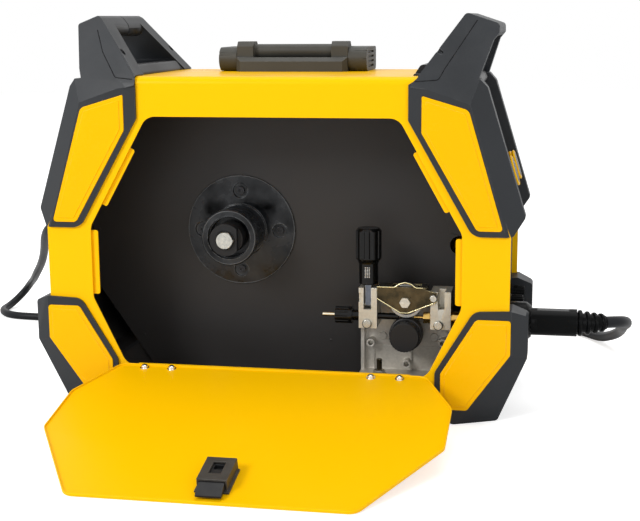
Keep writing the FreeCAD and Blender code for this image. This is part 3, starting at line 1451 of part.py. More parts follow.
def coil_path(centre, start_angle, side, radius, pitch, rise, lead_in, lead_out):
    """Piled loops of half turns: inward, one climb, and outward again above. Side 1 is anticlockwise."""
    def place(r, a, height):
        return Vector(centre.x + r * math.cos(a), centre.y + r * math.sin(a), height)

    def heading(a):
        return Vector(-math.sin(a), math.cos(a), 0) * side

    angle, z = start_angle, centre.z
    point = place(radius, angle, z)
    first = point - heading(angle) * lead_in
    edges = [Part.LineSegment(first, point).toShape()]
    steps = [(-pitch / 2, 0)] * loops_in + [(0, rise)] + [(pitch / 2, 0)] * loops_out
    for outward, up in steps:
        radius += outward
        z += up
        end = place(radius, angle + side * math.pi, z)
        edges += biarc(point, heading(angle), end, heading(angle + side * math.pi))
        angle += side * math.pi
        point = end
    last = point + heading(angle) * lead_out
    edges.append(Part.LineSegment(point, last).toShape())
    return Part.Wire(edges), first, last


def least_gap(wire, diameter):
    """Least clear distance between turns, measured on points of the centre line."""
    count = int(wire.Length / (diameter / 4))
    points = wire.discretize(Number=count)
    skip = int(math.pi * diameter / (wire.Length / count))
    least = min((points[i] - points[j]).Length for i in range(count) for j in range(i + skip, count))
    return least - diameter


def cord(name, wire, diameter, start, heading):
    """One cord piece; a coil also prints the least clear gap between its turns."""
    print(name)
    solid = tube(wire, diameter, start, heading)
    save(name, solid)


torch_exit, torch_heading = boot_point(boot_turn)
torch_coil_centre = Vector(110.0, 238.0, torch_cord / 2)
torch_coil = coil_path(torch_coil_centre, math.pi / 2, 1, torch_coil_radius, torch_coil_pitch,
                       torch_coil_rise,
                       torch_cord, torch_tail)
mains_exit = Vector(-(knee_half - end_recess) - gland_length, gland_y, gland_z)
mains_coil_centre = Vector(-190.0, 190.0, mains_cord / 2)
mains_coil = coil_path(mains_coil_centre, math.pi / 2, -1, mains_coil_radius, mains_coil_pitch,
                       mains_coil_rise,
                       mains_cord, mains_tail)


def torch_lead_path():
    """From the boot back and down to the floor, then round behind the cabinet to the coil."""
    return [torch_exit, torch_exit + torch_heading * 20.0, Vector(363.9, -8.6, 92.1),
            Vector(371.3, 11.7, 87.7),
            Vector(370.0, 50.2, 76.9), Vector(367.6, 117.9, 59.4), Vector(362.3, 194.0, 35.4),
            Vector(352.6, 249.1, 13.8), Vector(332.0, 285.0, 6.0), Vector(296.0, 322.0, 6.0),
            Vector(208.0, 343.0, 6.0), torch_coil[1]]


def mains_lead_path():
    """From the gland back and down to the floor, round a tight turn and in behind the cabinet."""
    return [mains_exit, mains_exit + Vector(-22, 0, 0), Vector(-295.0, 31.0, 172.0),
            Vector(-314.0, 53.0, 156.0),
            Vector(-340.0, 102.0, 136.0), Vector(-374.0, 180.0, 110.0), Vector(-412.0, 260.0, 78.0),
            Vector(-445.2, 338.0, 44.0), Vector(-465.2, 339.4, 21.7), Vector(-478.0, 318.0, 5.0),
            Vector(-474.0, 283.0, 5.0), Vector(-447.0, 258.0, 5.0), Vector(-405.0, 252.0, 5.0),
            Vector(-335.0, 259.0, 5.0), Vector(-262.0, 262.0, 5.0), mains_coil[1]]


# Torch at the end of its lead, lying on its side, and the mains plug

handle_start = torch_coil[2]


def trigger_slot():
    start = handle_start + Vector(-handle_length + 36.0, 6.0, 0)
    half = trigger_width / 2 + fit
    return block(start.x - 0.8, start.x + trigger_length + 0.8, start.y, start.y + 40, start.z - half,
                 start.z + half)


def torch_handle():
    """Turned grip with two flats, its lead boot and the slot of the trigger."""
    w = handle_half_width
    profile = [(0, 0), (8.6, 0), (10.4, 21.0), (w - 4, 23.0), (w - 1.5, 34.0), (w, 62.0), (w, 92.0),
               (w - 1.0, 124.0), (w - 2.6, 158.0), (12.4, handle_length), (0, handle_length)]
    grip = turned(profile, tuple(handle_start), (-1, 0, 0))
    rings = []
    for i in range(3):
        x = handle_start.x - 3.0 - 6.0 * i
        rings.append(rod_x(handle_start.y, handle_start.z, 9.6 + 0.6 * i, x - 3.2, x))
    flats = []
    for low in (handle_start.z + handle_half_height - 1.5,
                handle_start.z - handle_half_height + 1.5 - 20.0):
        flats.append(block(handle_start.x - 150, handle_start.x - 40, 300, 380, low, low + 20.0))
    return union([union([grip] + rings).cut(flats + [trigger_slot()]), trigger_pin(trigger_pin_radius)])


def neck_start():
    return handle_start + Vector(-handle_length, 0, 0)


def torch_neck():
    """Swan neck with its insulator collar, and the gas nozzle."""
    start = neck_start()
    a = math.radians(neck_turn)
    centre = start + Vector(-12.0, neck_bend, 0)

    def at(angle):
        return centre + Vector(-math.sin(angle), -math.cos(angle), 0) * neck_bend

    ahead = Vector(-math.cos(a), math.sin(a), 0)
    bend_end = at(a)
    tip = bend_end + ahead * 14.0
    path = Part.Wire([Part.LineSegment(start, at(0)).toShape(),
                      Part.Arc(at(0), at(a / 2), bend_end).toShape(),
                      Part.LineSegment(bend_end, tip).toShape()])
    ring = Part.Wire(Part.makeCircle(neck_radius, start, Vector(-1, 0, 0)))
    neck = path.makePipeShell([ring], True, False)
    collar = Part.makeCylinder(nozzle_radius - 1.0, 12.0, tip - ahead * 6.0, ahead)
    nozzle = turned([(7.5, 0), (nozzle_radius, 0), (nozzle_radius, nozzle_length - 16),
                     (8.6, nozzle_length),
                     (6.8, nozzle_length), (7.5, nozzle_length - 14)], tuple(tip + ahead * 6.0),
                    tuple(ahead))
    diffuser = Part.makeCylinder(4.0, nozzle_length - 14.0, tip + ahead * 5.0, ahead)
    return [union([neck, collar, diffuser]), nozzle]


def trigger_pivot():
    return handle_start + Vector(-handle_length + 36.0 + 4.5, 11.0, 0)


def trigger_pin(radius):
    """Pin across the trigger slot."""
    half = trigger_width / 2 + 2.0
    return Part.makeCylinder(radius, 2 * half, trigger_pivot() - Vector(0, 0, half))


def torch_trigger():
    """Finger lever hinged at its front end."""
    pivot = trigger_pivot()
    x0, x1 = pivot.x - 4.5, pivot.x - 4.5 + trigger_length
    y0 = pivot.y
    outline = [(x0, y0 - 3.5), (x1, y0 + 2.0), (x1, y0 + 8.0), (x1 - 12.0, y0 + 12.5),
               (x0 + 10.0, y0 + 9.5),
               (x0, y0 + 5.0)]
    half = trigger_width / 2
    return prism_xy(outline, pivot.z - half, pivot.z + half,
                    1.2).cut(trigger_pin(trigger_pin_radius + running))


def mains_plug():
    """Moulded plug with two round pins and a ribbed boot."""
    start = mains_coil[2]
    r = plug_radius
    profile = [(0, 0), (6.2, 0), (7.4, 20.0), (r - 5, 23.0), (r - 2, 30.0), (r - 2, 44.0), (r, 47.0),
               (r, 58.0), (0, 58.0)]
    body = turned(profile, tuple(start), (1, 0, 0))
    rings = [rod_x(start.y, start.z, 7.6 + 0.3 * i, start.x + 3 + 5.5 * i,
                   start.x + 6 + 5.5 * i) for i in range(3)]
    pins = [rod_x(start.y + 9.5 * side, start.z, 2.4, start.x + 57, start.x + 77) for side in (-1, 1)]
    return union([body] + rings + pins)


def build():
    os.makedirs("parts", exist_ok=True)
    save("base_tray", base_tray())
    save("cover", cover())
    save("partition", partition())
    save("front_panel", front_panel())
    save("rear_panel", rear_panel())
    lower = lower_guard()
    for end, flip_x, shape in (("front", False, front_tower), ("rear", True, rear_tower)):
        upper = upper_guard(shape)
        for side, flip_y in (("near", False), ("far", True)):
            save(f"upper_guard_{end}_{side}", mirrored(upper, flip_x, flip_y))
            save(f"lower_guard_{end}_{side}", mirrored(lower, flip_x, flip_y))
    plates = [insert(upper_insert_outline, upper_insert_corners),
              insert(lower_insert_outline, lower_insert_corners)]
    save("guard_inserts", *[mirrored(p, x, y) for p in plates for x in (False, True) for y in (False,
                                                                                               True)])
    save("handle_base", handle_base())
    save("handle_bail", handle_bail())
    door_leaves, frame_leaves = hinge_halves()
    save("door", opened(door()))
    save("hinge_door_leaves", *[opened(leaf) for leaf in door_leaves])
    save("hinge_frame_leaves", *frame_leaves)
    save("door_screws", *[opened(screw) for screw in door_screws()])
    save("latch_housing", opened(latch_housing()))
    save("latch_slide", opened(latch_slide()))
    save("hub_flange", hub_flange())
    save("hub_boss", hub_boss())
    save("hub_ring", hub_ring())
    save("hub_collar", hub_collar())
    save("hub_bolt", hub_bolt())
    save("fixing_screws", *fixing_screws())
    save("feed_plate", feed_plate())
    save("gearmotor", gearmotor())
    save("inlet_block", inlet_block())
    save("outlet_block", outlet_block())
    save("pressure_arm", pressure_arm())
    save("pressure_roller", pressure_roller())
    save("roller_bolt", roller_bolt())
    save("drive_roll", drive_roll())
    save("drive_cap", drive_cap())
    save("inlet_guide", inlet_guide())
    save("guide_tubes", *guide_tubes())
    save("tension_stem", tension_stem())
    save("tension_knob", tension_knob())
    save("display_lens", display_lens())
    save("voltage_knob", control_knob(*knob_places[0]))
    save("current_knob", control_knob(*knob_places[1]))
    save("front_sockets", *front_sockets())
    save("torch_sleeve", torch_sleeve())
    save("torch_boot", torch_boot())
    save("mains_switch", mains_switch())
    save("mains_gland", mains_gland())
    save("gas_inlet", gas_inlet())
    save("fan_rotor", fan_rotor())
    save("inverter_module", inverter_module())
    cord("torch_lead", tube_path(torch_lead_path(), torch_cord), torch_cord, torch_exit, torch_heading)
    cord("mains_lead", tube_path(mains_lead_path(), mains_cord), mains_cord, mains_exit, Vector(-1, 0, 0))
    for name, coil, width in (("torch_coil", torch_coil, torch_cord),
                              ("mains_coil", mains_coil, mains_cord)):
        start_edge = coil[0].OrderedEdges[0]
        cord(name, coil[0], width, coil[1], start_edge.tangentAt(start_edge.FirstParameter))
        print(f"  length {coil[0].Length:.0f} mm, least gap {least_gap(coil[0], width):.2f} mm")
    save("torch_handle", torch_handle())
    save("torch_neck", *torch_neck())
    save("torch_trigger", torch_trigger())
    save("mains_plug", mains_plug())


build()
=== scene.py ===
"""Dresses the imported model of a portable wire-feed welding machine with finished pieces and materials."""

import json
import logging
import math
from dataclasses import dataclass, field
from enum import Enum
from typing import Callable, Iterable, Sequence

import bmesh
import bpy
from mathutils import Matrix, Vector


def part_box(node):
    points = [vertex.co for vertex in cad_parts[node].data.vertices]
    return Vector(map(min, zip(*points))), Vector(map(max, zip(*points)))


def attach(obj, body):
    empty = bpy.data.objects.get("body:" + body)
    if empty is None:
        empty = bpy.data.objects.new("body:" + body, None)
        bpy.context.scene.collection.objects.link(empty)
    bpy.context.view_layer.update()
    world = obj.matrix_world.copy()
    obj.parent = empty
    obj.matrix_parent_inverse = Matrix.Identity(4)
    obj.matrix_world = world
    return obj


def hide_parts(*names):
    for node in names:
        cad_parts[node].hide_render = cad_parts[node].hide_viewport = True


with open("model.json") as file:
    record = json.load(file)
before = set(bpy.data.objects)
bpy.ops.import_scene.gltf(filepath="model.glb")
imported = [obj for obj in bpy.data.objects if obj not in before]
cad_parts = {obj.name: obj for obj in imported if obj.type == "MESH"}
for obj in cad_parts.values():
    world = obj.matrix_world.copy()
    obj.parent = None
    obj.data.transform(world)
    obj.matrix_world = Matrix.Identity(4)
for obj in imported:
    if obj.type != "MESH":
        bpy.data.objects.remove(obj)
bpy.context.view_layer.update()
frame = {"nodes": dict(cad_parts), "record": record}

MM = 0.001
log = logging.getLogger("welding_machine")
Point = tuple[float, float, float]


class Effect(Enum):
    """The surface effects that the materials share."""

    EDGE_WEAR_AND_HIGHLIGHT = "edge_wear"
    GRAIN = "grain"
    DUST = "dust"


class Form(Enum):
    """The shapes that a ring of marks can repeat."""

    BAR = "bar"
    DOT = "dot"


# Shader node groups

WEAR_AND_HIGHLIGHT_TURN = (0.995, 0.90)      # cosine between the flat and the rounded normal: the edge mark (wear, and in some finishes a painted highlight) begins, is full
WEAR_AND_HIGHLIGHT_PATCHES = (0.42, 0.62)    # noise levels between which the edge mark (wear and painted highlight) breaks up
DUSTY_SLOPE = (0.2, 1.0)       # height of the normal between which dust begins and is full
DUST_CLOUDS = (0.4, 0.75)      # noise levels between which the dust is patchy
BROAD_SCALE = 14.0             # scale of the broad tone under the fine grain
FINE_SHARE = 0.35              # share of the fine noise in the tint


class NodeGroup:
    """A node group under construction."""

    tree: bpy.types.NodeTree

    def add(self, kind: str, sockets: dict | None = None, **settings) -> bpy.types.Node:
        """Adds a node to the group.

        Args:
            kind: The node's type.
            sockets: Values or outputs for its inputs, by name or index.
            **settings: The node's own properties.

        Returns:
            The new node.
        """
        return add_node(self.tree, kind, sockets, **settings)

    def math(self, operation: str, a: bpy.types.NodeSocket | float,
             b: bpy.types.NodeSocket | float = 0.0) -> bpy.types.NodeSocket:
        """Adds a Math node.

        Args:
            operation: What it does.
            a: Its first value or output.
            b: Its second value or output.

        Returns:
            The result.
        """
        return self.add("ShaderNodeMath", {0: a, 1: b}, operation=operation).outputs[0]


class ShaderGroup(NodeGroup):
    """A shader node group under construction, with named inputs and outputs."""

    def __init__(self, name: str, inputs: dict[str, float | Point], outputs: Sequence[str]) -> None:
        """Makes the group and its sockets.

        Args:
            name: The group's name.
            inputs: Each input's name and value; a point makes a vector input.
            outputs: The names of the float outputs.
        """
        self.tree = bpy.data.node_groups.new(name, "ShaderNodeTree")
        for label, value in inputs.items():
            kind = "NodeSocketVector" if isinstance(value, tuple) else "NodeSocketFloat"
            socket = self.tree.interface.new_socket(label, in_out="INPUT", socket_type=kind)
            socket.default_value = value
        for label in outputs:
            self.tree.interface.new_socket(label, in_out="OUTPUT", socket_type="NodeSocketFloat")
        self.inlet = self.tree.nodes.new("NodeGroupInput").outputs
        self.outlet = self.tree.nodes.new("NodeGroupOutput").inputs

    def place(self) -> bpy.types.NodeSocket:
        """Adds the Object coordinates."""
        return self.add("ShaderNodeTexCoord").outputs["Object"]

    def ramp(self, value: bpy.types.NodeSocket, limits: tuple[float, float]) -> bpy.types.NodeSocket:
        """Adds a rise from 0 at the first limit to 1 at the second.

        Args:
            value: What is measured.
            limits: The two limits.

        Returns:
            The rise.
        """
        return self.add("ShaderNodeMapRange", {"Value": value, "From Min": limits[0],
                                               "From Max": limits[1]}).outputs[0]

    def noise(self, place: bpy.types.NodeSocket, scale: bpy.types.NodeSocket | float, detail: float,
              roughness: float = 0.5) -> bpy.types.NodeSocket:
        """Adds a noise texture.

        Args:
            place: The coordinates that it reads.
            scale: Its scale.
            detail: Its detail.
            roughness: Its roughness.

        Returns:
            The noise.
        """
        return self.add("ShaderNodeTexNoise", {"Vector": place, "Scale": scale, "Detail": detail,
                                               "Roughness": roughness}).outputs[0]

    def end_in_mask(self, first: bpy.types.NodeSocket, second: bpy.types.NodeSocket) -> None:
        """Ends the group in the product of two masks and its input Amount.

        Args:
            first: One mask.
            second: The other mask.
        """
        both = self.math("MULTIPLY", first, second)
        mask = self.add("ShaderNodeMath", {0: both, 1: self.inlet["Amount"]}, operation="MULTIPLY",
                        use_clamp=True)
        self.tree.links.new(mask.outputs[0], self.outlet["Mask"])


def add_node(tree: bpy.types.NodeTree, kind: str, sockets: dict | None = None,
             **settings) -> bpy.types.Node:
    """Adds a node to a tree, sets its properties and feeds its inputs.

    Args:
        tree: The tree that gets the node.
        kind: The node's type.
        sockets: Values or outputs for its inputs, by name or index.
        **settings: The node's own properties.

    Returns:
        The new node.
    """
    node = tree.nodes.new(kind)
    for name, value in settings.items():
        setattr(node, name, value)
    for key, value in (sockets or {}).items():
        if isinstance(value, bpy.types.NodeSocket):
            tree.links.new(value, node.inputs[key])
        else:
            node.inputs[key].default_value = value
    return node


def mixed(tree: bpy.types.NodeTree, share: bpy.types.NodeSocket, first: bpy.types.NodeSocket | tuple,
          second: bpy.types.NodeSocket | tuple) -> bpy.types.NodeSocket:
    """Adds a mix of two colours.

    Args:
        tree: The tree that gets the node.
        share: The share of the second colour.
        first: The first colour.
        second: The second colour.

    Returns:
        The mixed colour.
    """
    return add_node(tree, "ShaderNodeMix", {0: share, 6: first, 7: second}, data_type="RGBA").outputs[2]


def make_edge_wear_and_highlight() -> bpy.types.NodeTree:
    """Builds the group that finds edges, which take wear and, in some finishes, a painted edge highlight.

    Returns:
        A group with the output Mask, 1 on marked edges.
    """
    group = ShaderGroup("edge_wear", {"Radius": 0.0006, "Amount": 0.5, "Scale": 120.0}, ["Mask"])
    rounded = group.add("ShaderNodeBevel", {"Radius": group.inlet["Radius"]}, samples=4)
    shape = group.add("ShaderNodeNewGeometry")
    turn = group.add("ShaderNodeVectorMath", {0: rounded.outputs[0], 1: shape.outputs["Normal"]},
                     operation="DOT_PRODUCT")
    noise = group.noise(group.place(), group.inlet["Scale"], 4.0, 0.65)
    group.end_in_mask(group.ramp(turn.outputs["Value"], WEAR_AND_HIGHLIGHT_TURN), group.ramp(noise, WEAR_AND_HIGHLIGHT_PATCHES))
    return group.tree


def make_grain() -> bpy.types.NodeTree:
    """Builds the group for the fine pebble of moulded, coated and cast surfaces.

    Returns:
        A group with the outputs Height and Tint.
    """
    group = ShaderGroup("grain", {"Scale": 900.0, "Pebble": 0.5, "Stretch": (1.0, 1.0, 1.0)},
                        ["Height", "Tint"])
    place = group.place()
    drawn = group.add("ShaderNodeVectorMath", {0: place, 1: group.inlet["Stretch"]},
                      operation="MULTIPLY").outputs[0]
    noise = group.noise(drawn, group.inlet["Scale"], 3.0, 0.6)
    cells = group.add("ShaderNodeTexVoronoi", {"Vector": drawn, "Scale": group.inlet["Scale"]},
                      feature="SMOOTH_F1")
    height = group.add("ShaderNodeMix", {0: group.inlet["Pebble"], 2: noise, 3: cells.outputs[0]})
    broad = group.noise(place, BROAD_SCALE, 4.0)
    tint = group.add("ShaderNodeMix", {0: FINE_SHARE, 2: broad, 3: noise})
    group.tree.links.new(height.outputs[0], group.outlet["Height"])
    group.tree.links.new(tint.outputs[0], group.outlet["Tint"])
    return group.tree


def make_dust() -> bpy.types.NodeTree:
    """Builds the group for dust that settles on upward faces.

    Returns:
        A group with the output Mask.
    """
    group = ShaderGroup("dust", {"Amount": 0.2, "Scale": 60.0}, ["Mask"])
    shape = group.add("ShaderNodeNewGeometry")
    up = group.add("ShaderNodeSeparateXYZ", {0: shape.outputs["Normal"]})
    noise = group.noise(group.place(), group.inlet["Scale"], 6.0, 0.7)
    group.end_in_mask(group.ramp(up.outputs["Z"], DUSTY_SLOPE), group.ramp(noise, DUST_CLOUDS))
    return group.tree


GROUPS: dict[Effect, bpy.types.NodeTree] = {}


def shared_group(effect: Effect) -> bpy.types.NodeTree:
    """Gives an effect's shader node group, built once.

    Args:
        effect: The effect.

    Returns:
        The group.
    """
    makers: dict[Effect, Callable[[], bpy.types.NodeTree]] = {
        Effect.EDGE_WEAR_AND_HIGHLIGHT: make_edge_wear_and_highlight, Effect.GRAIN: make_grain, Effect.DUST: make_dust}
    if effect not in GROUPS:
        GROUPS[effect] = makers[effect]()
    return GROUPS[effect]


def effect_node(tree: bpy.types.NodeTree, effect: Effect, **values) -> bpy.types.Node:
    """Adds an effect's group to a material.

    Args:
        tree: The material's tree.
        effect: The effect.
        **values: The group's inputs in this material.

    Returns:
        The group's node.
    """
    return add_node(tree, "ShaderNodeGroup", values, node_tree=shared_group(effect))


# Finishes

TINT_LIMITS = (0.3, 0.7)                  # tints between which the roughness runs over its spread
LIGHTER = 0.6                             # how far the light tone goes up, as a share of the dark one
DUST_COLOUR = (0.42, 0.4, 0.37, 1)
LEAST_ROUGHNESS = 0.02


@dataclass(frozen=True)
class Split:
    """A flat border across a piece, past which the piece has another finish."""

    along: Point
    place: float
    beyond: "Finish"


@dataclass(frozen=True)
class Finish:
    """One surface finish, from which a material is made."""

    name: str
    colour: Point
    roughness: float = 0.5
    metallic: float = 0.0
    slot: str = ""
    grain_scale: float = 900.0
    pebble: float = 0.5
    stretch: Point = (1.0, 1.0, 1.0)
    bump: float = 0.15
    depth: float = 0.0001
    spread: float = 0.12
    shade: float = 0.12
    contrast: float = 1.0
    # Edge colour, amount and reach: wear, and in the hub's glossy black, the pressure arm, the stem and the
    # cast alloys a painted edge highlight.
    wear_and_highlight_colour: Point = (0.5, 0.5, 0.5)
    wear_and_highlight: float = 0.3
    wear_and_highlight_radius: float = 0.0006
    dust: float = 0.0
    coat: float = 0.0
    specular: float = 0.5
    # Share by which the specular level follows the tint: a painted sheen in patches.
    painted_sheen: float = 0.0
    split: Split | None = None

    def colours(self, tree: bpy.types.NodeTree, tint: bpy.types.NodeSocket) -> bpy.types.NodeSocket:
        """Adds the two tones of the body colour to a material.

        Args:
            tree: The material's tree.
            tint: The grain's tint.

        Returns:
            The colour output.
        """
        dark = tuple(c * (1 - self.shade) for c in self.colour)
        light = tuple(min(1.0, c * (1 + self.shade * LIGHTER)) for c in self.colour)
        return mixed(tree, tint, (*dark, 1), (*light, 1))

    def rough(self, tree: bpy.types.NodeTree, tint: bpy.types.NodeSocket) -> bpy.types.NodeSocket:
        """Adds the roughness, which varies with the grain.

        Args:
            tree: The material's tree.
            tint: The grain's tint.

        Returns:
            The roughness output.
        """
        return add_node(tree, "ShaderNodeMapRange", {
            "Value": tint, "From Min": TINT_LIMITS[0], "From Max": TINT_LIMITS[1],
            "To Min": max(LEAST_ROUGHNESS, self.roughness - self.spread / 2),
            "To Max": min(1.0, self.roughness + self.spread / 2)}).outputs[0]

    def past_border(self, tree: bpy.types.NodeTree) -> bpy.types.NodeSocket:
        """Adds the mask that is 1 past the finish's border.

        Args:
            tree: The material's tree.

        Returns:
            The mask output.
        """
        place = add_node(tree, "ShaderNodeTexCoord").outputs["Object"]
        reach = add_node(tree, "ShaderNodeVectorMath", {0: place, 1: self.split.along},
                         operation="DOT_PRODUCT")
        return add_node(tree, "ShaderNodeMath", {0: reach.outputs["Value"], 1: self.split.place},
                        operation="GREATER_THAN").outputs[0]

    def material(self) -> bpy.types.Material:
        """Gives the finish's material, made on first use.

        Returns:
            The material.
        """
        name = self.name + "_finish"
        made = bpy.data.materials.get(name)
        if made:
            return made
        made = bpy.data.materials.new(name)
        made.use_nodes = True
        tree = made.node_tree
        shader = tree.nodes["Principled BSDF"].inputs
        grain = effect_node(tree, Effect.GRAIN, Scale=self.grain_scale, Pebble=self.pebble,
                            Stretch=self.stretch).outputs
        wear_and_highlight = effect_node(tree, Effect.EDGE_WEAR_AND_HIGHLIGHT, Radius=self.wear_and_highlight_radius, Amount=self.wear_and_highlight)
        dust = effect_node(tree, Effect.DUST, Amount=self.dust)
        half = 0.5 / self.contrast
        tint = add_node(tree, "ShaderNodeMapRange", {"Value": grain["Tint"], "From Min": 0.5 - half,
                                                     "From Max": 0.5 + half}).outputs[0]
        colour, rough = self.colours(tree, tint), self.rough(tree, tint)
        if self.split:
            mask, other = self.past_border(tree), self.split.beyond
            colour = mixed(tree, mask, colour, other.colours(tree, tint))
            rough = add_node(tree, "ShaderNodeMix", {0: mask, 2: rough,
                                                     3: other.rough(tree, tint)}).outputs[0]
            metal = add_node(tree, "ShaderNodeMapRange", {"Value": mask, "To Min": self.metallic,
                                                          "To Max": other.metallic})
            tree.links.new(metal.outputs[0], shader["Metallic"])
        # Edges take the edge colour: wear, and in some finishes a painted edge highlight.
        worn_and_highlit = mixed(tree, wear_and_highlight.outputs["Mask"], colour, (*self.wear_and_highlight_colour, 1))
        dusty = mixed(tree, dust.outputs["Mask"], worn_and_highlit, DUST_COLOUR)
        bump = add_node(tree, "ShaderNodeBump", {"Strength": self.bump, "Distance": self.depth,
                                                 "Height": grain["Height"]})
        tree.links.new(dusty, shader["Base Color"])
        tree.links.new(rough, shader["Roughness"])
        tree.links.new(bump.outputs[0], shader["Normal"])
        shader["Metallic"].default_value = self.metallic
        shader["Coat Weight"].default_value = self.coat
        shader["Specular IOR Level"].default_value = self.specular
        # Painted sheen: the specular level rises and falls with the tint, so that reflections show in
        # patches.
        if self.painted_sheen:
            painted_sheen_level = add_node(tree, "ShaderNodeMapRange", {
                "Value": tint, "To Min": self.specular * (1 - self.painted_sheen),
                "To Max": self.specular * (1 + self.painted_sheen)})
            tree.links.new(painted_sheen_level.outputs[0], shader["Specular IOR Level"])
        return made


YELLOW_PAINT = Finish("yellow_powder_coat", (1.0, 0.545, 0.0), roughness=0.32, slot="yellow_paint",
                      grain_scale=420, bump=0.08, shade=0.02, wear_and_highlight_colour=(1.0, 0.72, 0.16), specular=0.08)
YELLOW_MOULDING = Finish("yellow_moulding", (1.0, 0.5, 0.0), roughness=0.26, slot="yellow_plastic",
                         grain_scale=260, bump=0.05, shade=0.02, wear_and_highlight_colour=(1.0, 0.76, 0.22),
                         specular=0.08)
GUARD_PLASTIC = Finish("guard_plastic", (0.021, 0.0235, 0.027), roughness=0.47, slot="guard_plastic",
                       grain_scale=1100, bump=0.5, shade=0.35, contrast=1.6,
                       wear_and_highlight_colour=(0.09, 0.094, 0.1), wear_and_highlight=0.8, wear_and_highlight_radius=0.0009, dust=0.05,
                       specular=0.3)
HANDLE_PLASTIC = Finish("handle_plastic", (0.052, 0.051, 0.044), slot="guard_plastic", grain_scale=1100,
                        bump=0.5, shade=0.35, contrast=1.6, wear_and_highlight_colour=(0.14, 0.135, 0.12), wear_and_highlight=0.8,
                        wear_and_highlight_radius=0.0009, dust=0.05, specular=0.3)
LATCH_PLASTIC = Finish("latch_plastic", (0.042, 0.037, 0.031), roughness=0.45, slot="guard_plastic",
                       bump=0.5, shade=0.4, contrast=2.0, wear_and_highlight_colour=(0.12, 0.11, 0.1), wear_and_highlight=0.8,
                       wear_and_highlight_radius=0.0009, dust=0.05, specular=0.3)
BLACK_PLASTIC = Finish("black_plastic", (0.012, 0.012, 0.013), roughness=0.4, slot="black_plastic",
                       grain_scale=1000, bump=0.22, shade=0.25, wear_and_highlight_colour=(0.07, 0.07, 0.075), wear_and_highlight=0.6,
                       dust=0.03, specular=0.26)
# Glossy black of the hub: its strongly varied tone and its patchy specular level paint patches of reflected
# light, and its pale edges paint edge highlights.
GLOSS_PLASTIC = Finish("glossy_black_plastic", (0.012, 0.0135, 0.016), roughness=0.26,
                       slot="black_plastic", grain_scale=34, bump=0.32, depth=0.0012, spread=0.32,
                       shade=1.0, contrast=3.2, wear_and_highlight_colour=(0.17, 0.18, 0.19), wear_and_highlight=1.0,
                       wear_and_highlight_radius=0.0016, specular=0.34, painted_sheen=0.95)
# Pale glossy black for thin rings at the hub's rims: a painted rim highlight.
HUB_RIM_HIGHLIGHT = Finish("hub_rim_highlight", (0.085, 0.09, 0.095), roughness=0.3, slot="black_plastic",
                    grain_scale=40, spread=0.3, shade=0.8, contrast=2.5, wear_and_highlight=0.2)
KNOB_PLASTIC = Finish("knob_plastic", (0.004, 0.004, 0.004), roughness=0.22, slot="black_plastic",
                      grain_scale=700, bump=0.12, shade=0.3, wear_and_highlight_colour=(0.06, 0.06, 0.06), wear_and_highlight=0.6,
                      specular=0.26)
TORCH_PLASTIC = Finish("torch_plastic", (0.003, 0.0033, 0.0035), roughness=0.26, slot="black_plastic",
                       shade=0.3, wear_and_highlight_colour=(0.05, 0.05, 0.055), wear_and_highlight=0.6, specular=0.07)
BLACK_PAINT = Finish("black_powder_coat", (0.0235, 0.0212, 0.0202), roughness=0.47, slot="black_paint",
                     grain_scale=520, bump=0.35, shade=0.22, wear_and_highlight_colour=(0.11, 0.10, 0.10), wear_and_highlight=0.35,
                     dust=0.03, specular=0.34)
CORD_RUBBER = Finish("cord_rubber", (0.006, 0.007, 0.009), roughness=0.4, slot="cord_rubber",
                     grain_scale=1400, bump=0.2, shade=0.2, wear_and_highlight_colour=(0.04, 0.04, 0.045), wear_and_highlight=0.2,
                     specular=0.22)
NOZZLE_METAL = Finish("nozzle_metal", (0.72, 0.55, 0.42), roughness=0.24, metallic=1.0, shade=0.15,
                      dust=0.08)
NECK_RUBBER = Finish("neck_rubber", (0.012, 0.012, 0.013), roughness=0.55, slot="neck_rubber",
                     grain_scale=1400, bump=0.2, wear_and_highlight_colour=(0.05, 0.05, 0.05), wear_and_highlight=0.2, dust=0.03,
                     specular=0.35, split=Split((-0.6428, 0.766, 0.0), 0.4575, NOZZLE_METAL))
ZINC = Finish("bright_zinc", (0.56, 0.55, 0.5), roughness=0.3, metallic=1.0, slot="zinc", grain_scale=260,
              bump=0.35, depth=0.0003, spread=0.25, shade=0.45, contrast=3.0, wear_and_highlight_colour=(0.9, 0.88, 0.8),
              wear_and_highlight=0.6)
BLACK_SCREW = Finish("black_screw", (0.02, 0.02, 0.022), roughness=0.28, metallic=0.6, slot="zinc",
                     wear_and_highlight_colour=(0.2, 0.2, 0.2), wear_and_highlight=0.5)
CHROME = Finish("chrome", (0.74, 0.73, 0.70), roughness=0.07, metallic=1.0, slot="zinc", grain_scale=500,
                bump=0.04, spread=0.05, shade=0.08, wear_and_highlight_colour=(0.9, 0.9, 0.9), wear_and_highlight=0.2)
# Tension stem: a chrome link painted dark blue-grey for the dark reflection it shows, with pale edges that
# paint its edge highlights.
STEM_DARK_REFLECTION = Finish("steel_painted_dark_reflection", (0.17, 0.185, 0.215), roughness=0.2, metallic=1.0, slot="zinc",
                    grain_scale=300, bump=0.12, spread=0.2, shade=0.5, contrast=2.5,
                    wear_and_highlight_colour=(0.85, 0.85, 0.82), wear_and_highlight=0.9, wear_and_highlight_radius=0.001)
ROLLER_STEEL = Finish("ground_steel", (0.36, 0.36, 0.35), roughness=0.28, metallic=1.0,
                      slot="roller_steel", stretch=(1.0, 0.08, 1.0), bump=0.2, shade=0.3, contrast=2.0,
                      wear_and_highlight_colour=(0.8, 0.8, 0.8), dust=0.08)
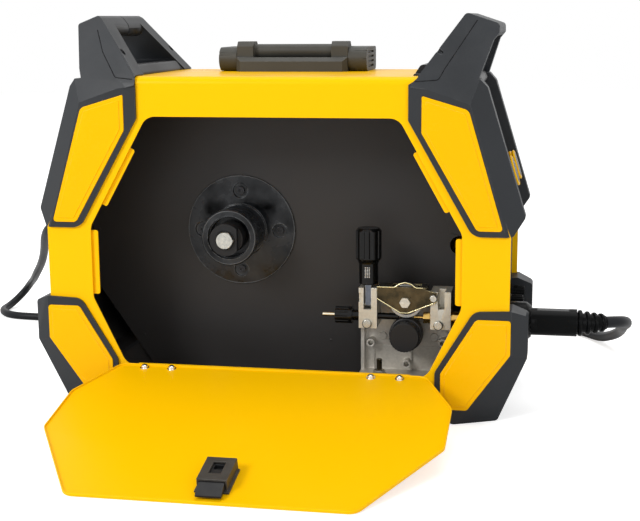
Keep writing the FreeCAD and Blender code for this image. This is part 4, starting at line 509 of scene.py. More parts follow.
# Cast alloy: its pale edges are partly wear and partly painted edge highlight.
CAST_ALLOY = Finish("cast_alloy", (0.54, 0.51, 0.455), metallic=0.7, slot="cast_alloy", grain_scale=330,
                    pebble=0.7, bump=0.8, depth=0.0003, shade=0.4, contrast=2.2,
                    wear_and_highlight_colour=(0.85, 0.82, 0.76), wear_and_highlight=0.9, wear_and_highlight_radius=0.0009)
# Alloy of the feed blocks: its pale edges are partly wear and partly painted edge highlight.
BLOCK_ALLOY = Finish("block_alloy", (0.62, 0.585, 0.5), roughness=0.38, metallic=0.6, slot="cast_alloy",
                     grain_scale=300, pebble=0.7, bump=0.5, depth=0.0003, shade=0.3, contrast=2.2,
                     wear_and_highlight_colour=(0.95, 0.93, 0.86), wear_and_highlight=1.0, wear_and_highlight_radius=0.0009)
# Yellow zinc of the pressure arm: its very dark, strongly mottled body is partly the zinc's own mottle and
# partly painted dark reflection, and its pale edges paint edge highlights.
YELLOW_ZINC = Finish("yellow_zinc", (0.075, 0.058, 0.032), roughness=0.2, metallic=1.0, slot="yellow_zinc",
                     grain_scale=95, bump=0.3, depth=0.0005, spread=0.3, shade=1.0, contrast=3.5,
                     wear_and_highlight_colour=(1.0, 0.86, 0.5), wear_and_highlight=1.0, wear_and_highlight_radius=0.0014)
# Pale yellow zinc for beads along the pressure arm's rims: a painted rim highlight.
ARM_RIM_HIGHLIGHT = Finish("arm_rim_highlight", (0.95, 0.83, 0.52), roughness=0.25, metallic=1.0,
                     slot="yellow_zinc", grain_scale=300, bump=0.1, shade=0.25, contrast=2.0, wear_and_highlight=0.1)
ROLL_STEEL = Finish("grooved_steel", (0.06, 0.06, 0.062), roughness=0.35, metallic=1.0,
                    slot="roller_steel", shade=0.3, wear_and_highlight_colour=(0.4, 0.4, 0.4), wear_and_highlight=0.4)
WIRE_STEEL = Finish("pale_wire", (0.85, 0.79, 0.62), roughness=0.25, metallic=1.0, slot="brass", wear_and_highlight=0.1)
BRASS = Finish("turned_brass", (0.70, 0.45, 0.13), roughness=0.22, metallic=1.0, slot="brass",
               stretch=(0.08, 1.0, 1.0), wear_and_highlight_colour=(0.9, 0.75, 0.45))
SMOKED_WINDOW = Finish("smoked_window", (0.006, 0.006, 0.008), roughness=0.08, slot="window",
                       grain_scale=60, bump=0.02, spread=0.04, wear_and_highlight=0.1, coat=0.5, dust=0.08)
WHITE_PRINT = Finish("white_print", (0.72, 0.72, 0.70), shade=0.08, wear_and_highlight_colour=(0.4, 0.4, 0.4))
YELLOW_TRIM = Finish("yellow_trim", (1.0, 0.55, 0.0), roughness=0.3, slot="yellow_plastic",
                     grain_scale=500, bump=0.1, shade=0.04, wear_and_highlight_colour=(1.0, 0.75, 0.2), specular=0.1)
SEAM_BLACK = Finish("seam_black", (0.006, 0.006, 0.007), roughness=0.7, slot="guard_plastic", wear_and_highlight=0.1,
                    specular=0.1)
DIGIT_RED = Finish("digit_red", (0.16, 0.012, 0.01), roughness=0.25, grain_scale=700, shade=0.1, wear_and_highlight=0.1)


# Mesh work

MERGE = 0.01              # millimetres within which vertices are one
FLAT = 0.6                # degrees within which faces are one
FOLD_AREA = 0.01          # square millimetres below which a triangle's direction says nothing
FOLD_TURN = 0.3           # cosine below which a triangle faces away from its face
PARALLEL = 0.9            # cosine above which an edge runs along its neighbour
ROOM_SHARE = 0.45         # share of a neighbour that a rounding may take
EASING = (0.5, 0.4, 0.3, 0.2, 0.0, None)    # factors for the rounding where faces fold, in turn


def tidy_copy(node: str) -> bmesh.types.BMesh:
    """Copies a CAD node's mesh with its doubles merged and its flat faces joined.

    Args:
        node: The CAD node.

    Returns:
        The copy, in metres in the row frame.
    """
    copy = bmesh.new()
    copy.from_mesh(frame["nodes"][node].data)
    bmesh.ops.remove_doubles(copy, verts=copy.verts, dist=MERGE * MM)
    bmesh.ops.dissolve_limit(copy, angle_limit=math.radians(FLAT), verts=copy.verts, edges=copy.edges,
                             delimit={"NORMAL"})
    return copy


def linked(name: str, data: bpy.types.ID) -> bpy.types.Object:
    """Makes an object in the scene.

    Args:
        name: The object's name.
        data: Its mesh, curve, lamp or camera.

    Returns:
        The object.
    """
    made = bpy.data.objects.new(name, data)
    bpy.context.scene.collection.objects.link(made)
    return made


def to_object(name: str, shape: bmesh.types.BMesh, smooth_below: float = 38.0) -> bpy.types.Object:
    """Makes an object of a bmesh, smooth but for its sharp edges.

    Args:
        name: The object's name.
        shape: Its mesh, which is freed.
        smooth_below: Edges that turn less than this many degrees are smooth.

    Returns:
        The object, linked to the scene.
    """
    mesh = bpy.data.meshes.new(name)
    shape.to_mesh(mesh)
    shape.free()
    mesh.shade_smooth()
    mesh.set_sharp_from_angle(angle=math.radians(smooth_below))
    return linked(name, mesh)


def add_block(shape: bmesh.types.BMesh, middle: Point, sides: Point) -> None:
    """Adds a block to a mesh under construction.

    Args:
        shape: The mesh.
        middle: The block's middle, in millimetres.
        sides: Its sides, in millimetres.
    """
    spot = Matrix.Translation(Vector(middle) * MM)
    bmesh.ops.create_cube(shape, size=1.0, matrix=spot @ Matrix.Diagonal(Vector(sides) * MM).to_4x4())


def baked(made: bpy.types.Object) -> bpy.types.Mesh:
    """Gives the mesh that an object's modifiers make.

    Args:
        made: The object.

    Returns:
        A new mesh.
    """
    bpy.context.view_layer.update()
    plain = bpy.data.meshes.new_from_object(made.evaluated_get(bpy.context.evaluated_depsgraph_get()))
    plain.name = made.name
    return plain


def bake(made: bpy.types.Object) -> bpy.types.Object:
    """Applies an object's modifiers to its mesh.

    Args:
        made: The object.

    Returns:
        The same object, with no modifiers.
    """
    plain = baked(made)
    made.modifiers.clear()
    made.data = plain
    return made


def room_beside(edge: bmesh.types.BMEdge) -> float:
    """Measures how far an edge can be rounded before it meets what lies beside it.

    Args:
        edge: The edge.

    Returns:
        The distance in metres.
    """
    along = (edge.verts[1].co - edge.verts[0].co).normalized()
    room = math.inf
    for face in edge.link_faces:
        for corner in edge.verts:
            for other in corner.link_edges:
                if other is edge or face not in other.link_faces:
                    continue
                side = other.other_vert(corner).co - corner.co
                if abs(side.normalized().dot(along)) < PARALLEL:
                    room = min(room, side.length * ROOM_SHARE)
    return room


def folded_faces(mesh: bpy.types.Mesh) -> set[int]:
    """Finds the faces that fold over themselves.

    Args:
        mesh: A mesh whose faces know which face they came from.

    Returns:
        The numbers of the faces that they came from.
    """
    mesh.calc_loop_triangles()
    normals = mesh.polygon_normals
    origin = mesh.attributes["origin"].data
    return {origin[t.polygon_index].value for t in mesh.loop_triangles
            if t.area > FOLD_AREA * MM * MM and t.normal.dot(normals[t.polygon_index].vector) < FOLD_TURN}


def soften(made: bpy.types.Object, width: float, segments: int = 2,
           angle: float = 33.0) -> bpy.types.Object:
    """Rounds an object's sharp edges, less where there is little room or where a face would fold over.

    Args:
        made: The object.
        width: The bevel's width in millimetres.
        segments: Its number of faces.
        angle: Edges that turn by more than this many degrees are rounded.

    Returns:
        The same object, with the rounding in its mesh.
    """
    shape = bmesh.new()
    shape.from_mesh(made.data)
    weight = shape.edges.layers.float.new("bevel_weight_edge")
    origin = shape.faces.layers.int.new("origin")
    for face in shape.faces:
        face[origin] = face.index
    for edge in shape.edges:
        if len(edge.link_faces) == 2 and edge.calc_face_angle() > math.radians(angle):
            edge[weight] = min(1.0, room_beside(edge) / (width * MM))
    bevel = made.modifiers.new("soften", "BEVEL")
    bevel.width = width * MM
    bevel.segments = segments
    bevel.limit_method = "WEIGHT"
    bevel.use_clamp_overlap = False
    shading = made.modifiers.new("flat_faces", "WEIGHTED_NORMAL")
    shading.weight = 100
    shading.keep_sharp = True
    for less in EASING:
        shape.to_mesh(made.data)
        plain = baked(made)
        folded = folded_faces(plain)
        if not folded or less is None:
            break
        shape.faces.ensure_lookup_table()
        for edge in {edge for number in folded for edge in shape.faces[number].edges}:
            edge[weight] *= less
        bpy.data.meshes.remove(plain)
    shape.free()
    plain.attributes.remove(plain.attributes["origin"])
    made.modifiers.clear()
    made.data = plain
    return made


def give(made: bpy.types.Object, finish: Finish, body: str, *nodes: str) -> bpy.types.Object:
    """Finishes a piece: its material, its body and the CAD nodes that it stands for.

    Args:
        made: The piece.
        finish: Its finish.
        body: The CAD body that it rides on.
        *nodes: The CAD nodes that it replaces.

    Returns:
        The piece.
    """
    if not made.data.materials:
        made.data.materials.append(finish.material())
    else:
        made.data.materials[0] = finish.material()
    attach(made, body)
    if nodes:
        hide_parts(*nodes)
    return made


# Geometry node shapes

DOT_SIDES = 12            # sides of a round mark
HEAD_SIDES = (20, 10)     # segments and rings of a screw's dome
CROSS_REACH = 1.15        # how far a screw's cross goes, in radii
RING_SIDES = 40           # sides of a ring
BEAD_SIDES = 8            # sides of a round bead
THIN_BEAD_SIDES = 6       # sides of a thin bead along a line
SLOT_CORNER = 6           # faces of a slot's corner
LINE_CORNER = 5           # faces of a line's corner


class NodeShape(NodeGroup):
    """A geometry node tree under construction, with named inputs, which ends in one plain mesh."""

    def __init__(self, name: str, inputs: dict[str, float | int | Point]) -> None:
        """Makes the tree and its sockets.

        Args:
            name: The tree's name.
            inputs: Each input's name and value; a whole number makes an integer input.
        """
        self.name = name
        self.tree = bpy.data.node_groups.new(name, "GeometryNodeTree")
        face = self.tree.interface
        self.keys: dict[str, str] = {}
        face.new_socket("Places", in_out="INPUT", socket_type="NodeSocketGeometry")
        for label, value in inputs.items():
            kind = {int: "Int", float: "Float", tuple: "Vector"}[type(value)]
            socket = face.new_socket(label, in_out="INPUT", socket_type="NodeSocket" + kind)
            socket.default_value = value
            self.keys[label] = socket.identifier
        finish = face.new_socket("Finish", in_out="INPUT", socket_type="NodeSocketMaterial")
        self.keys["Finish"] = finish.identifier
        face.new_socket("Shape", in_out="OUTPUT", socket_type="NodeSocketGeometry")
        self.inlet = self.tree.nodes.new("NodeGroupInput").outputs

    def vector(self, x: bpy.types.NodeSocket | float = 0.0, y: bpy.types.NodeSocket | float = 0.0,
               z: bpy.types.NodeSocket | float = 0.0) -> bpy.types.NodeSocket:
        """Adds a Combine XYZ node.

        Args:
            x: Its first value or output.
            y: Its second value or output.
            z: Its third value or output.

        Returns:
            The vector.
        """
        return self.add("ShaderNodeCombineXYZ", {0: x, 1: y, 2: z}).outputs[0]

    def round_spot(self, radius: bpy.types.NodeSocket, angle: bpy.types.NodeSocket,
                   height: bpy.types.NodeSocket) -> bpy.types.NodeSocket:
        """Gives a point round the Z axis.

        Args:
            radius: Its distance from the axis.
            angle: Its angle.
            height: Its height.

        Returns:
            The point.
        """
        return self.vector(self.math("MULTIPLY", radius, self.math("COSINE", angle)),
                           self.math("MULTIPLY", radius, self.math("SINE", angle)), height)

    def filleted(self, curve: bpy.types.NodeSocket, faces: int) -> bpy.types.NodeSocket:
        """Rounds a curve's corners by the input Corner.

        Args:
            curve: The curve.
            faces: The number of points in a corner.

        Returns:
            The rounded curve.
        """
        return self.add("GeometryNodeFilletCurve", {
            "Curve": curve, "Count": faces, "Radius": self.inlet["Corner"]}, mode="POLY").outputs[0]

    def beaded(self, curve: bpy.types.NodeSocket, sides: int = BEAD_SIDES,
               capped: bool = False) -> bpy.types.NodeSocket:
        """Makes a bead along a curve, as thick as the input Bead.

        Args:
            curve: The curve.
            sides: The bead's sides.
            capped: Whether its ends are closed.

        Returns:
            The bead's mesh.
        """
        wire = self.add("GeometryNodeCurvePrimitiveCircle", {"Resolution": sides,
                                                             "Radius": self.inlet["Bead"]})
        return self.add("GeometryNodeCurveToMesh", {"Curve": curve, "Profile Curve": wire.outputs[0],
                                                    "Fill Caps": capped}).outputs[0]

    def repeat(self, places: bpy.types.NodeSocket, unit: bpy.types.NodeSocket,
               turn: bpy.types.NodeSocket | None = None) -> None:
        """Ends the tree in a copy of a unit at each place.

        Args:
            places: The places.
            unit: The unit's mesh.
            turn: The copies' rotation, where they have one.
        """
        sockets = {"Points": places, "Instance": unit}
        if turn is not None:
            sockets["Rotation"] = turn
        self.end(self.add("GeometryNodeInstanceOnPoints", sockets).outputs[0])

    def end(self, shape: bpy.types.NodeSocket) -> None:
        """Ends the tree in Realize Instances and Set Material.

        Args:
            shape: The geometry so far.
        """
        real = self.add("GeometryNodeRealizeInstances", {"Geometry": shape})
        dressed = self.add("GeometryNodeSetMaterial", {"Geometry": real.outputs[0],
                                                       "Material": self.inlet["Finish"]})
        outlet = self.tree.nodes.new("NodeGroupOutput")
        self.tree.links.new(dressed.outputs[0], outlet.inputs[0])

    def make(self, name: str, finish: Finish, body: str, place: Matrix | None = None,
             points: Iterable[Point] = ((0.0, 0.0, 0.0),), chain: bool = False,
             **sizes: float | int | Point) -> bpy.types.Object:
        """Bakes the tree to one mesh piece.

        Args:
            name: The piece's name.
            finish: Its finish.
            body: The CAD body that it rides on.
            place: Where the shape goes, in metres.
            points: The places that the tree starts from, in millimetres.
            chain: Whether the places are joined in order by edges.
            **sizes: The inputs' values, by name with _ for a space.

        Returns:
            The piece.
        """
        places = [Vector(p) * MM for p in points]
        edges = [(i, i + 1) for i in range(len(places) - 1)] if chain else []
        mesh = bpy.data.meshes.new(name)
        mesh.from_pydata(places, edges, [])
        made = linked(name, mesh)
        modifier = made.modifiers.new("shape", "NODES")
        modifier.node_group = self.tree
        modifier[self.keys["Finish"]] = finish.material()
        for label, value in sizes.items():
            modifier[self.keys[label.replace("_", " ")]] = value
        bake(made)
        if place is not None:
            made.data.transform(place)
        made.data.update()
        return give(made, finish, body)


def ring_of_marks(form: Form) -> NodeShape:
    """Builds the tree for bars or dots round a circle, such as a dial's scale or a grip's ribs.

    Args:
        form: What is repeated.

    Returns:
        The tree, whose bars are Length out from the circle, Width across and Height up.
    """
    shape = NodeShape("ring_of_" + form.value + "s", {
        "Count": 12, "Radius": 0.02, "Start": 0.0, "Sweep": 2 * math.pi, "Length": 0.003, "Width": 0.001,
        "Height": 0.0005})
    inlet, times = shape.inlet, "MULTIPLY"
    points = shape.add("GeometryNodePoints", {"Count": inlet["Count"]})
    share = shape.math("DIVIDE", shape.add("GeometryNodeInputIndex").outputs[0], inlet["Count"])
    angle = shape.math("ADD", shape.math(times, share, inlet["Sweep"]), inlet["Start"])
    reach = shape.math("ADD", inlet["Radius"], shape.math(times, inlet["Length"], 0.5))
    spot = shape.round_spot(reach, angle, shape.math(times, inlet["Height"], 0.5))
    shape.tree.links.new(spot, points.inputs["Position"])
    if form is Form.BAR:
        size = shape.vector(inlet["Length"], inlet["Width"], inlet["Height"])
        unit = shape.add("GeometryNodeMeshCube", {"Size": size})
    else:
        unit = shape.add("GeometryNodeMeshCylinder", {
            "Vertices": DOT_SIDES, "Radius": shape.math(times, inlet["Length"], 0.5),
            "Depth": inlet["Height"]})
    shape.repeat(points.outputs[0], unit.outputs[0], shape.vector(z=angle))
    return shape


def wrapped_dots() -> NodeShape:
    """Builds the tree for a scale of dots in columns and rows on a round sleeve.

    Returns:
        The tree, with the sleeve's axis upright through the origin.
    """
    shape = NodeShape("wrapped_dots", {
        "Columns": 3, "Rows": 8, "Column Step": 0.16, "Row Step": 0.0021, "Radius": 0.01, "Start": 0.0,
        "Dot Width": 0.001, "Dot Height": 0.0007, "Proud": 0.00025})
    inlet, times = shape.inlet, "MULTIPLY"
    points = shape.add("GeometryNodePoints", {"Count": shape.math(times, inlet["Columns"], inlet["Rows"])})
    index = shape.add("GeometryNodeInputIndex").outputs[0]
    column = shape.math("MODULO", index, inlet["Columns"])
    row = shape.math("FLOOR", shape.math("DIVIDE", index, inlet["Columns"]))
    angle = shape.math("ADD", shape.math(times, column, inlet["Column Step"]), inlet["Start"])
    spot = shape.round_spot(inlet["Radius"], angle, shape.math(times, row, inlet["Row Step"]))
    shape.tree.links.new(spot, points.inputs["Position"])
    size = shape.vector(inlet["Proud"], inlet["Dot Width"], inlet["Dot Height"])
    dot = shape.add("GeometryNodeMeshCube", {"Size": size})
    shape.repeat(points.outputs[0], dot.outputs[0], shape.vector(z=angle))
    return shape


def screw_heads() -> NodeShape:
    """Builds the tree for domed screw heads with a crossed recess at given places.

    Returns:
        The tree, whose heads face along the turned Z axis.
    """
    shape = NodeShape("screw_heads", {"Radius": 0.0035, "Height": 0.0018, "Slot": 0.0009,
                                      "Turn": (0.0, 0.0, 0.0)})
    radius, height, slot = (shape.inlet[label] for label in ("Radius", "Height", "Slot"))
    ball = shape.add("GeometryNodeMeshUVSphere", {"Segments": HEAD_SIDES[0], "Rings": HEAD_SIDES[1],
                                                  "Radius": radius})
    squat = shape.vector(1.0, 1.0, shape.math("DIVIDE", height, radius))
    dome = shape.add("GeometryNodeTransform", {"Geometry": ball.outputs["Mesh"], "Scale": squat})
    reach = shape.math("MULTIPLY", radius, CROSS_REACH)
    up = shape.vector(z=height)
    cross = shape.add("GeometryNodeMeshBoolean", operation="UNION")
    for size in ((reach, slot, height), (slot, reach, height)):
        bar = shape.add("GeometryNodeMeshCube", {"Size": shape.vector(*size)})
        arm = shape.add("GeometryNodeTransform", {"Geometry": bar.outputs["Mesh"], "Translation": up})
        shape.tree.links.new(arm.outputs[0], cross.inputs["Mesh 2"])
    head = shape.add("GeometryNodeMeshBoolean", {"Mesh 1": dome.outputs[0], "Mesh 2": cross.outputs[0]},
                     operation="DIFFERENCE")
    shape.repeat(shape.inlet["Places"], head.outputs[0], shape.inlet["Turn"])
    return shape


def rolled_rims() -> NodeShape:
    """Builds the tree for a rolled rim round each rounded slot at given places.

    Returns:
        The tree, with the slots in the XY plane.
    """
    shape = NodeShape("rolled_rims", {"Width": 0.08, "Height": 0.005, "Corner": 0.0024, "Bead": 0.0006})
    outline = shape.add("GeometryNodeCurvePrimitiveQuadrilateral", {"Width": shape.inlet["Width"],
                                                                    "Height": shape.inlet["Height"]})
    shape.repeat(shape.inlet["Places"], shape.beaded(shape.filleted(outline.outputs[0], SLOT_CORNER)))
    return shape


def ring_stack() -> NodeShape:
    """Builds the tree for round beads stacked along an axis.

    Returns:
        The tree, with the axis along Z from the origin.
    """
    shape = NodeShape("ring_stack", {"Count": 3, "Step": 0.003, "Radius": 0.014, "Bead": 0.0008})
    points = shape.add("GeometryNodeMeshLine", {"Count": shape.inlet["Count"],
                                                "Offset": shape.vector(z=shape.inlet["Step"])})
    circle = shape.add("GeometryNodeCurvePrimitiveCircle", {"Resolution": RING_SIDES,
                                                            "Radius": shape.inlet["Radius"]})
    shape.repeat(points.outputs[0], shape.beaded(circle.outputs[0]))
    return shape


def bead_line() -> NodeShape:
    """Builds the tree for a thin bead that follows a chain of places, with rounded corners.

    Returns:
        The tree.
    """
    shape = NodeShape("bead_line", {"Bead": 0.0004, "Corner": 0.004})
    line = shape.add("GeometryNodeMeshToCurve", {"Mesh": shape.inlet["Places"]})
    shape.end(shape.beaded(shape.filleted(line.outputs[0], LINE_CORNER), THIN_BEAD_SIDES, True))
    return shape


BODY_OF = {node: body for body, nodes in frame["record"]["behaviour"]["bodies"].items() for node in nodes}


@dataclass(frozen=True)
class Zone:
    """A box on a piece, in millimetres, whose faces have another finish."""

    finish: Finish
    low: Point
    high: Point

    def holds(self, spot: Vector) -> bool:
        """Tells whether a place in metres is in the box."""
        return all(a <= c / MM <= b for a, c, b in zip(self.low, spot, self.high))


@dataclass(frozen=True)
class Reshape:
    """A six-sided block that is joined to a piece, or cut from it."""

    front: tuple[Point, ...]
    back: tuple[Point, ...]
    joined: bool = True

    def apply(self, made: bpy.types.Object) -> None:
        """Joins the block to a piece, or cuts it out.

        Args:
            made: The piece.
        """
        shape = bmesh.new()
        ends = [[shape.verts.new(Vector(p) * MM) for p in corners] for corners in (self.front, self.back)]
        count = len(self.front)
        for corners in ends:
            shape.faces.new(corners)
        for k in range(count):
            near, far = ((ends[side][k], ends[side][(k + 1) % count]) for side in (0, 1))
            shape.faces.new((near[0], near[1], far[1], far[0]))
        bmesh.ops.recalc_face_normals(shape, faces=shape.faces)
        block = to_object("block", shape)
        cutter = made.modifiers.new("reshape", "BOOLEAN")
        cutter.operation = "UNION" if self.joined else "DIFFERENCE"
        cutter.object = block
        bake(made)
        bpy.data.objects.remove(block)


@dataclass
class Dressed:
    """A CAD node that keeps its shape and gets rounded edges and a finish."""

    node: str
    finish: Finish
    bevel: float = 0.4
    segments: int = 2
    kept: bool = False
    zones: tuple[Zone, ...] = ()
    reshapes: tuple[Reshape, ...] = ()

    def build(self) -> bpy.types.Object:
        """Makes the piece that stands for the node, or finishes the node itself where its shape is kept.

        Returns:
            The piece.
        """
        if self.kept:
            node = frame["nodes"][self.node]
            node.data.materials.clear()
            node.data.materials.append(self.finish.material())
            return node
        made = to_object(self.node + "_piece", tidy_copy(self.node))
        for reshape in self.reshapes:
            reshape.apply(made)
        if self.bevel:
            soften(made, self.bevel, self.segments)
        give(made, self.finish, BODY_OF[self.node], self.node)
        for zone in self.zones:
            made.data.materials.append(zone.finish.material())
            place = len(made.data.materials) - 1
            for face in made.data.polygons:
                if zone.holds(face.center):
                    face.material_index = place
        return made


class Assembly:
    """A sub-assembly that builds its pieces in order."""

    def dressed(self) -> tuple[Dressed, ...]:
        """Names the CAD nodes that keep their shape; none unless a sub-assembly has them."""
        return ()

    def extras(self) -> list[bpy.types.Object]:
        """Makes the pieces that have no CAD node; none unless a sub-assembly adds them."""
        return []

    def build(self) -> list[bpy.types.Object]:
        """Makes every piece of the sub-assembly.

        Returns:
            The pieces.
        """
        return [piece.build() for piece in self.dressed()] + self.extras()


def facing(origin: Point, out: Vector, across: Vector) -> Matrix:
    """Gives the place of a shape that is drawn flat and stands out along Z.

    Args:
        origin: Where its origin goes, in millimetres.
        out: Where its Z axis points.
        across: Where its X axis points.

    Returns:
        The matrix, in metres.
    """
    z = out.normalized()
    x = (across - z * across.dot(z)).normalized()
    turn = Matrix((x, z.cross(x), z)).transposed().to_4x4()
    return Matrix.Translation(Vector(origin) * MM) @ turn


@dataclass
class ControlFace:
    """The sloping face of a console, from its low edge to its high edge."""

    low: Point = (240.0, 0.0, 203.0)
    high: Point = (200.0, 0.0, 333.0)
    end: int = 1

    def spot(self, up: float, y: float, out: float = 0.0) -> Matrix:
        """Gives a place on the face.

        Args:
            up: Millimetres up the slope.
            y: Millimetres across.
            out: Millimetres off the face.

        Returns:
            The matrix of the place, with Z off the face and Y up the slope.
        """
        low = Vector((self.low[0] * self.end, 0.0, self.low[2]))
        rise = (Vector((self.high[0] * self.end, 0.0, self.high[2])) - low).normalized()
        away = Vector((rise.z, 0.0, -rise.x)) * self.end
        return facing(low + rise * up + Vector((0.0, y, 0.0)) + away * out, away, rise.cross(away))


@dataclass
class Cabinet(Assembly):
    """Cover, tray, partition and the moulded ends."""

    half_width: float = 100.0
    vent_length: float = 80.0
    vent_width: float = 5.0
    vent_centres: tuple[float, ...] = (-110.0, 110.0)
    vent_low: float = 112.5
    vent_pitch: float = 14.0
    vent_rows: int = 6
    rim_gap: float = 1.0
    rim_bead: float = 0.55
    screw_radius: float = 3.4
    screw_height: float = 1.5
    screw_x: tuple[float, ...] = (-150.0, -50.0, 50.0, 150.0)
    screw_z: float = 26.0
    partition_face: float = 8.0
    dimples: tuple[tuple[float, float], ...] = ((-222.0, 171.4), (-173.3, 52.1), (40.8, 53.8))
    dimple_radius: float = 1.6
    dimple_height: float = 0.5
    dimple_slot: float = 0.2
    hub_screws: tuple[Point, Point] = ((-120.0, -10.0, 110.0), (5.0, 30.0, 240.0))
    earth_stud: tuple[Point, Point] = ((98.0, -48.0, 30.0), (106.0, -40.0, 52.0))

    def dressed(self) -> tuple[Dressed, ...]:
        """Names the cabinet's CAD nodes and their finishes."""
        zones = Zone(BLACK_SCREW, *self.hub_screws), Zone(YELLOW_ZINC, *self.earth_stud)
        return (
            Dressed("cover", YELLOW_PAINT, 0.4), Dressed("base_tray", BLACK_PAINT),
            Dressed("partition", BLACK_PAINT, 0.3), Dressed("front_panel", BLACK_PLASTIC, 0.5),
            Dressed("rear_panel", BLACK_PLASTIC, 0.3), Dressed("display_lens", SMOKED_WINDOW, 0.3),
            Dressed("mains_gland", BLACK_PLASTIC, 0.4), Dressed("gas_inlet", BRASS, 0.2),
            Dressed("inverter_module", CAST_ALLOY, 0.0),
            Dressed("fixing_screws", ZINC, 0.15, zones=zones))

    def extras(self) -> list[bpy.types.Object]:
        """Makes the rolled rims of the vents and the small screws.

        Returns:
            The pieces.
        """
        slots = [(-x, self.vent_low + self.vent_pitch * row, 0.0)
                 for row in range(self.vent_rows) for x in self.vent_centres]
        far_side = facing((0.0, self.half_width, 0.0), Vector((0, 1, 0)), Vector((-1, 0, 0)))
        rims = rolled_rims().make(
            "vent_rims", YELLOW_PAINT, "cabinet", far_side, slots, Bead=self.rim_bead * MM,
            Width=(self.vent_length + self.rim_gap) * MM, Height=(self.vent_width + self.rim_gap) * MM)
        heads = screw_heads()
        cover = heads.make(
            "cover_screws", ZINC, "cabinet", None,
            [(x, self.half_width, self.screw_z) for x in self.screw_x],
            Radius=self.screw_radius * MM, Height=self.screw_height * MM, Turn=(-math.pi / 2, 0.0, 0.0))
        dimples = heads.make(
            "partition_dimples", BLACK_PAINT, "cabinet", None,
            [(x, self.partition_face, z) for x, z in self.dimples], Radius=self.dimple_radius * MM,
            Height=self.dimple_height * MM, Slot=self.dimple_slot * MM, Turn=(math.pi / 2, 0.0, 0.0))
        return [rims, cover, dimples]


@dataclass
class Guards(Assembly):
    """The corner guards, their inlays and the carry handle."""

    edge: float = 0.9
    seam_bead: float = 0.45
    leaning: tuple[float, float, float, float] = (-103.0, 0.46, 340.5, 0.345)
    outline_left: float = 138.0
    gussets: tuple[tuple[tuple[float, float], ...], ...] = (
        ((143.4, 340.8), (158.0, 340.8), (158.0, 349.0), (149.0, 349.0)),
        ((138.8, 340.8), (158.0, 340.8), (158.0, 349.0), (140.0, 349.0)))
    gusset_back: float = -88.0
    foot_cut: tuple[tuple[float, float], ...] = (
        (130.0, 348.2), (147.6, 348.2), (160.0, 365.5), (130.0, 365.5))
    foot_depth: tuple[float, float] = (-90.0, -66.0)
    front_seam: tuple[Point, ...] = ((200.8, -65.9, 399.5), (172.1, -91.4, 353.9), (166.3, -97.4, 343.0),
                                     (144.3, -101.5, 341.5))
    rear_seam: tuple[Point, ...] = ((-186.4, -71.7, 391.9), (-177.7, -83.0, 370.2), (-160.2, -97.5, 344.8),
                                    (-141.0, -101.6, 343.2))

    def dressed(self) -> tuple[Dressed, ...]:
        """Names the guards' CAD nodes and their finishes."""
        corners = tuple(Dressed(f"lower_guard_{end}_{side}", GUARD_PLASTIC, self.edge, 3)
                        for end in ("front", "rear") for side in ("near", "far"))
        towers = tuple(Dressed(f"upper_guard_{end}_{side}", GUARD_PLASTIC, self.edge, 3,
                               reshapes=self.foot(end == "rear", side == "far"))
                       for end in ("front", "rear") for side in ("near", "far"))
        return towers + corners + (
            Dressed("guard_inserts", YELLOW_MOULDING, 0.5, 3), Dressed("handle_base", HANDLE_PLASTIC, 0.8, 3),
            Dressed("handle_bail", HANDLE_PLASTIC, 0.8, 3))

    def foot(self, rear: bool, far: bool) -> tuple[Reshape, ...]:
        """Gives what closes the corner under a tower's leg, and trims the front legs' feet.

        Args:
            rear: Whether it is a rear tower.
            far: Whether it is on the far side.

        Returns:
            The blocks.
        """
        face, slant, fold, drop = self.leaning
        flip_x, flip_y = (-1 if rear else 1), (-1 if far else 1)
        outline = self.gussets[int(rear)]
        front = [(x, face + slant * (z - fold + drop * (x - self.outline_left)), z) for x, z in outline]
        back = [(x, self.gusset_back, z) for x, z in outline]
        ends = [tuple((flip_x * x, flip_y * y, z) for x, y, z in end) for end in (front, back)]
        made = (Reshape(ends[0], ends[1]),)
        if not rear:
            cut = [tuple((x, flip_y * y, z) for x, z in self.foot_cut) for y in self.foot_depth]
            made = (Reshape(cut[0], cut[1], joined=False),) + made
        return made

    def extras(self) -> list[bpy.types.Object]:
        """Makes the seams of the two-part towers, on both sides of the machine.

        Returns:
            The pieces.
        """
        line = bead_line()
        made = []
        for end, seam in (("front", self.front_seam), ("rear", self.rear_seam)):
            for side, sign in (("near", 1), ("far", -1)):
                made.append(line.make(
                    f"tower_seam_{end}_{side}", SEAM_BLACK, BODY_OF[f"upper_guard_{end}_{side}"], None,
                    [(x, sign * y, z) for x, y, z in seam], True, Bead=self.seam_bead * MM))
        return made


@dataclass
class SideDoor(Assembly):
    """Door, hinges, screws and latch."""

    edge: float = 0.35

    def dressed(self) -> tuple[Dressed, ...]:
        """Names the door's CAD nodes and their finishes."""
        return (
            Dressed("door", YELLOW_PAINT, self.edge), Dressed("hinge_door_leaves", YELLOW_PAINT, 0.25),
            Dressed("hinge_frame_leaves", YELLOW_PAINT, 0.25), Dressed("door_screws", CHROME, 0.15),
            Dressed("latch_housing", LATCH_PLASTIC, 0.4), Dressed("latch_slide", BLACK_PLASTIC, 0.3))


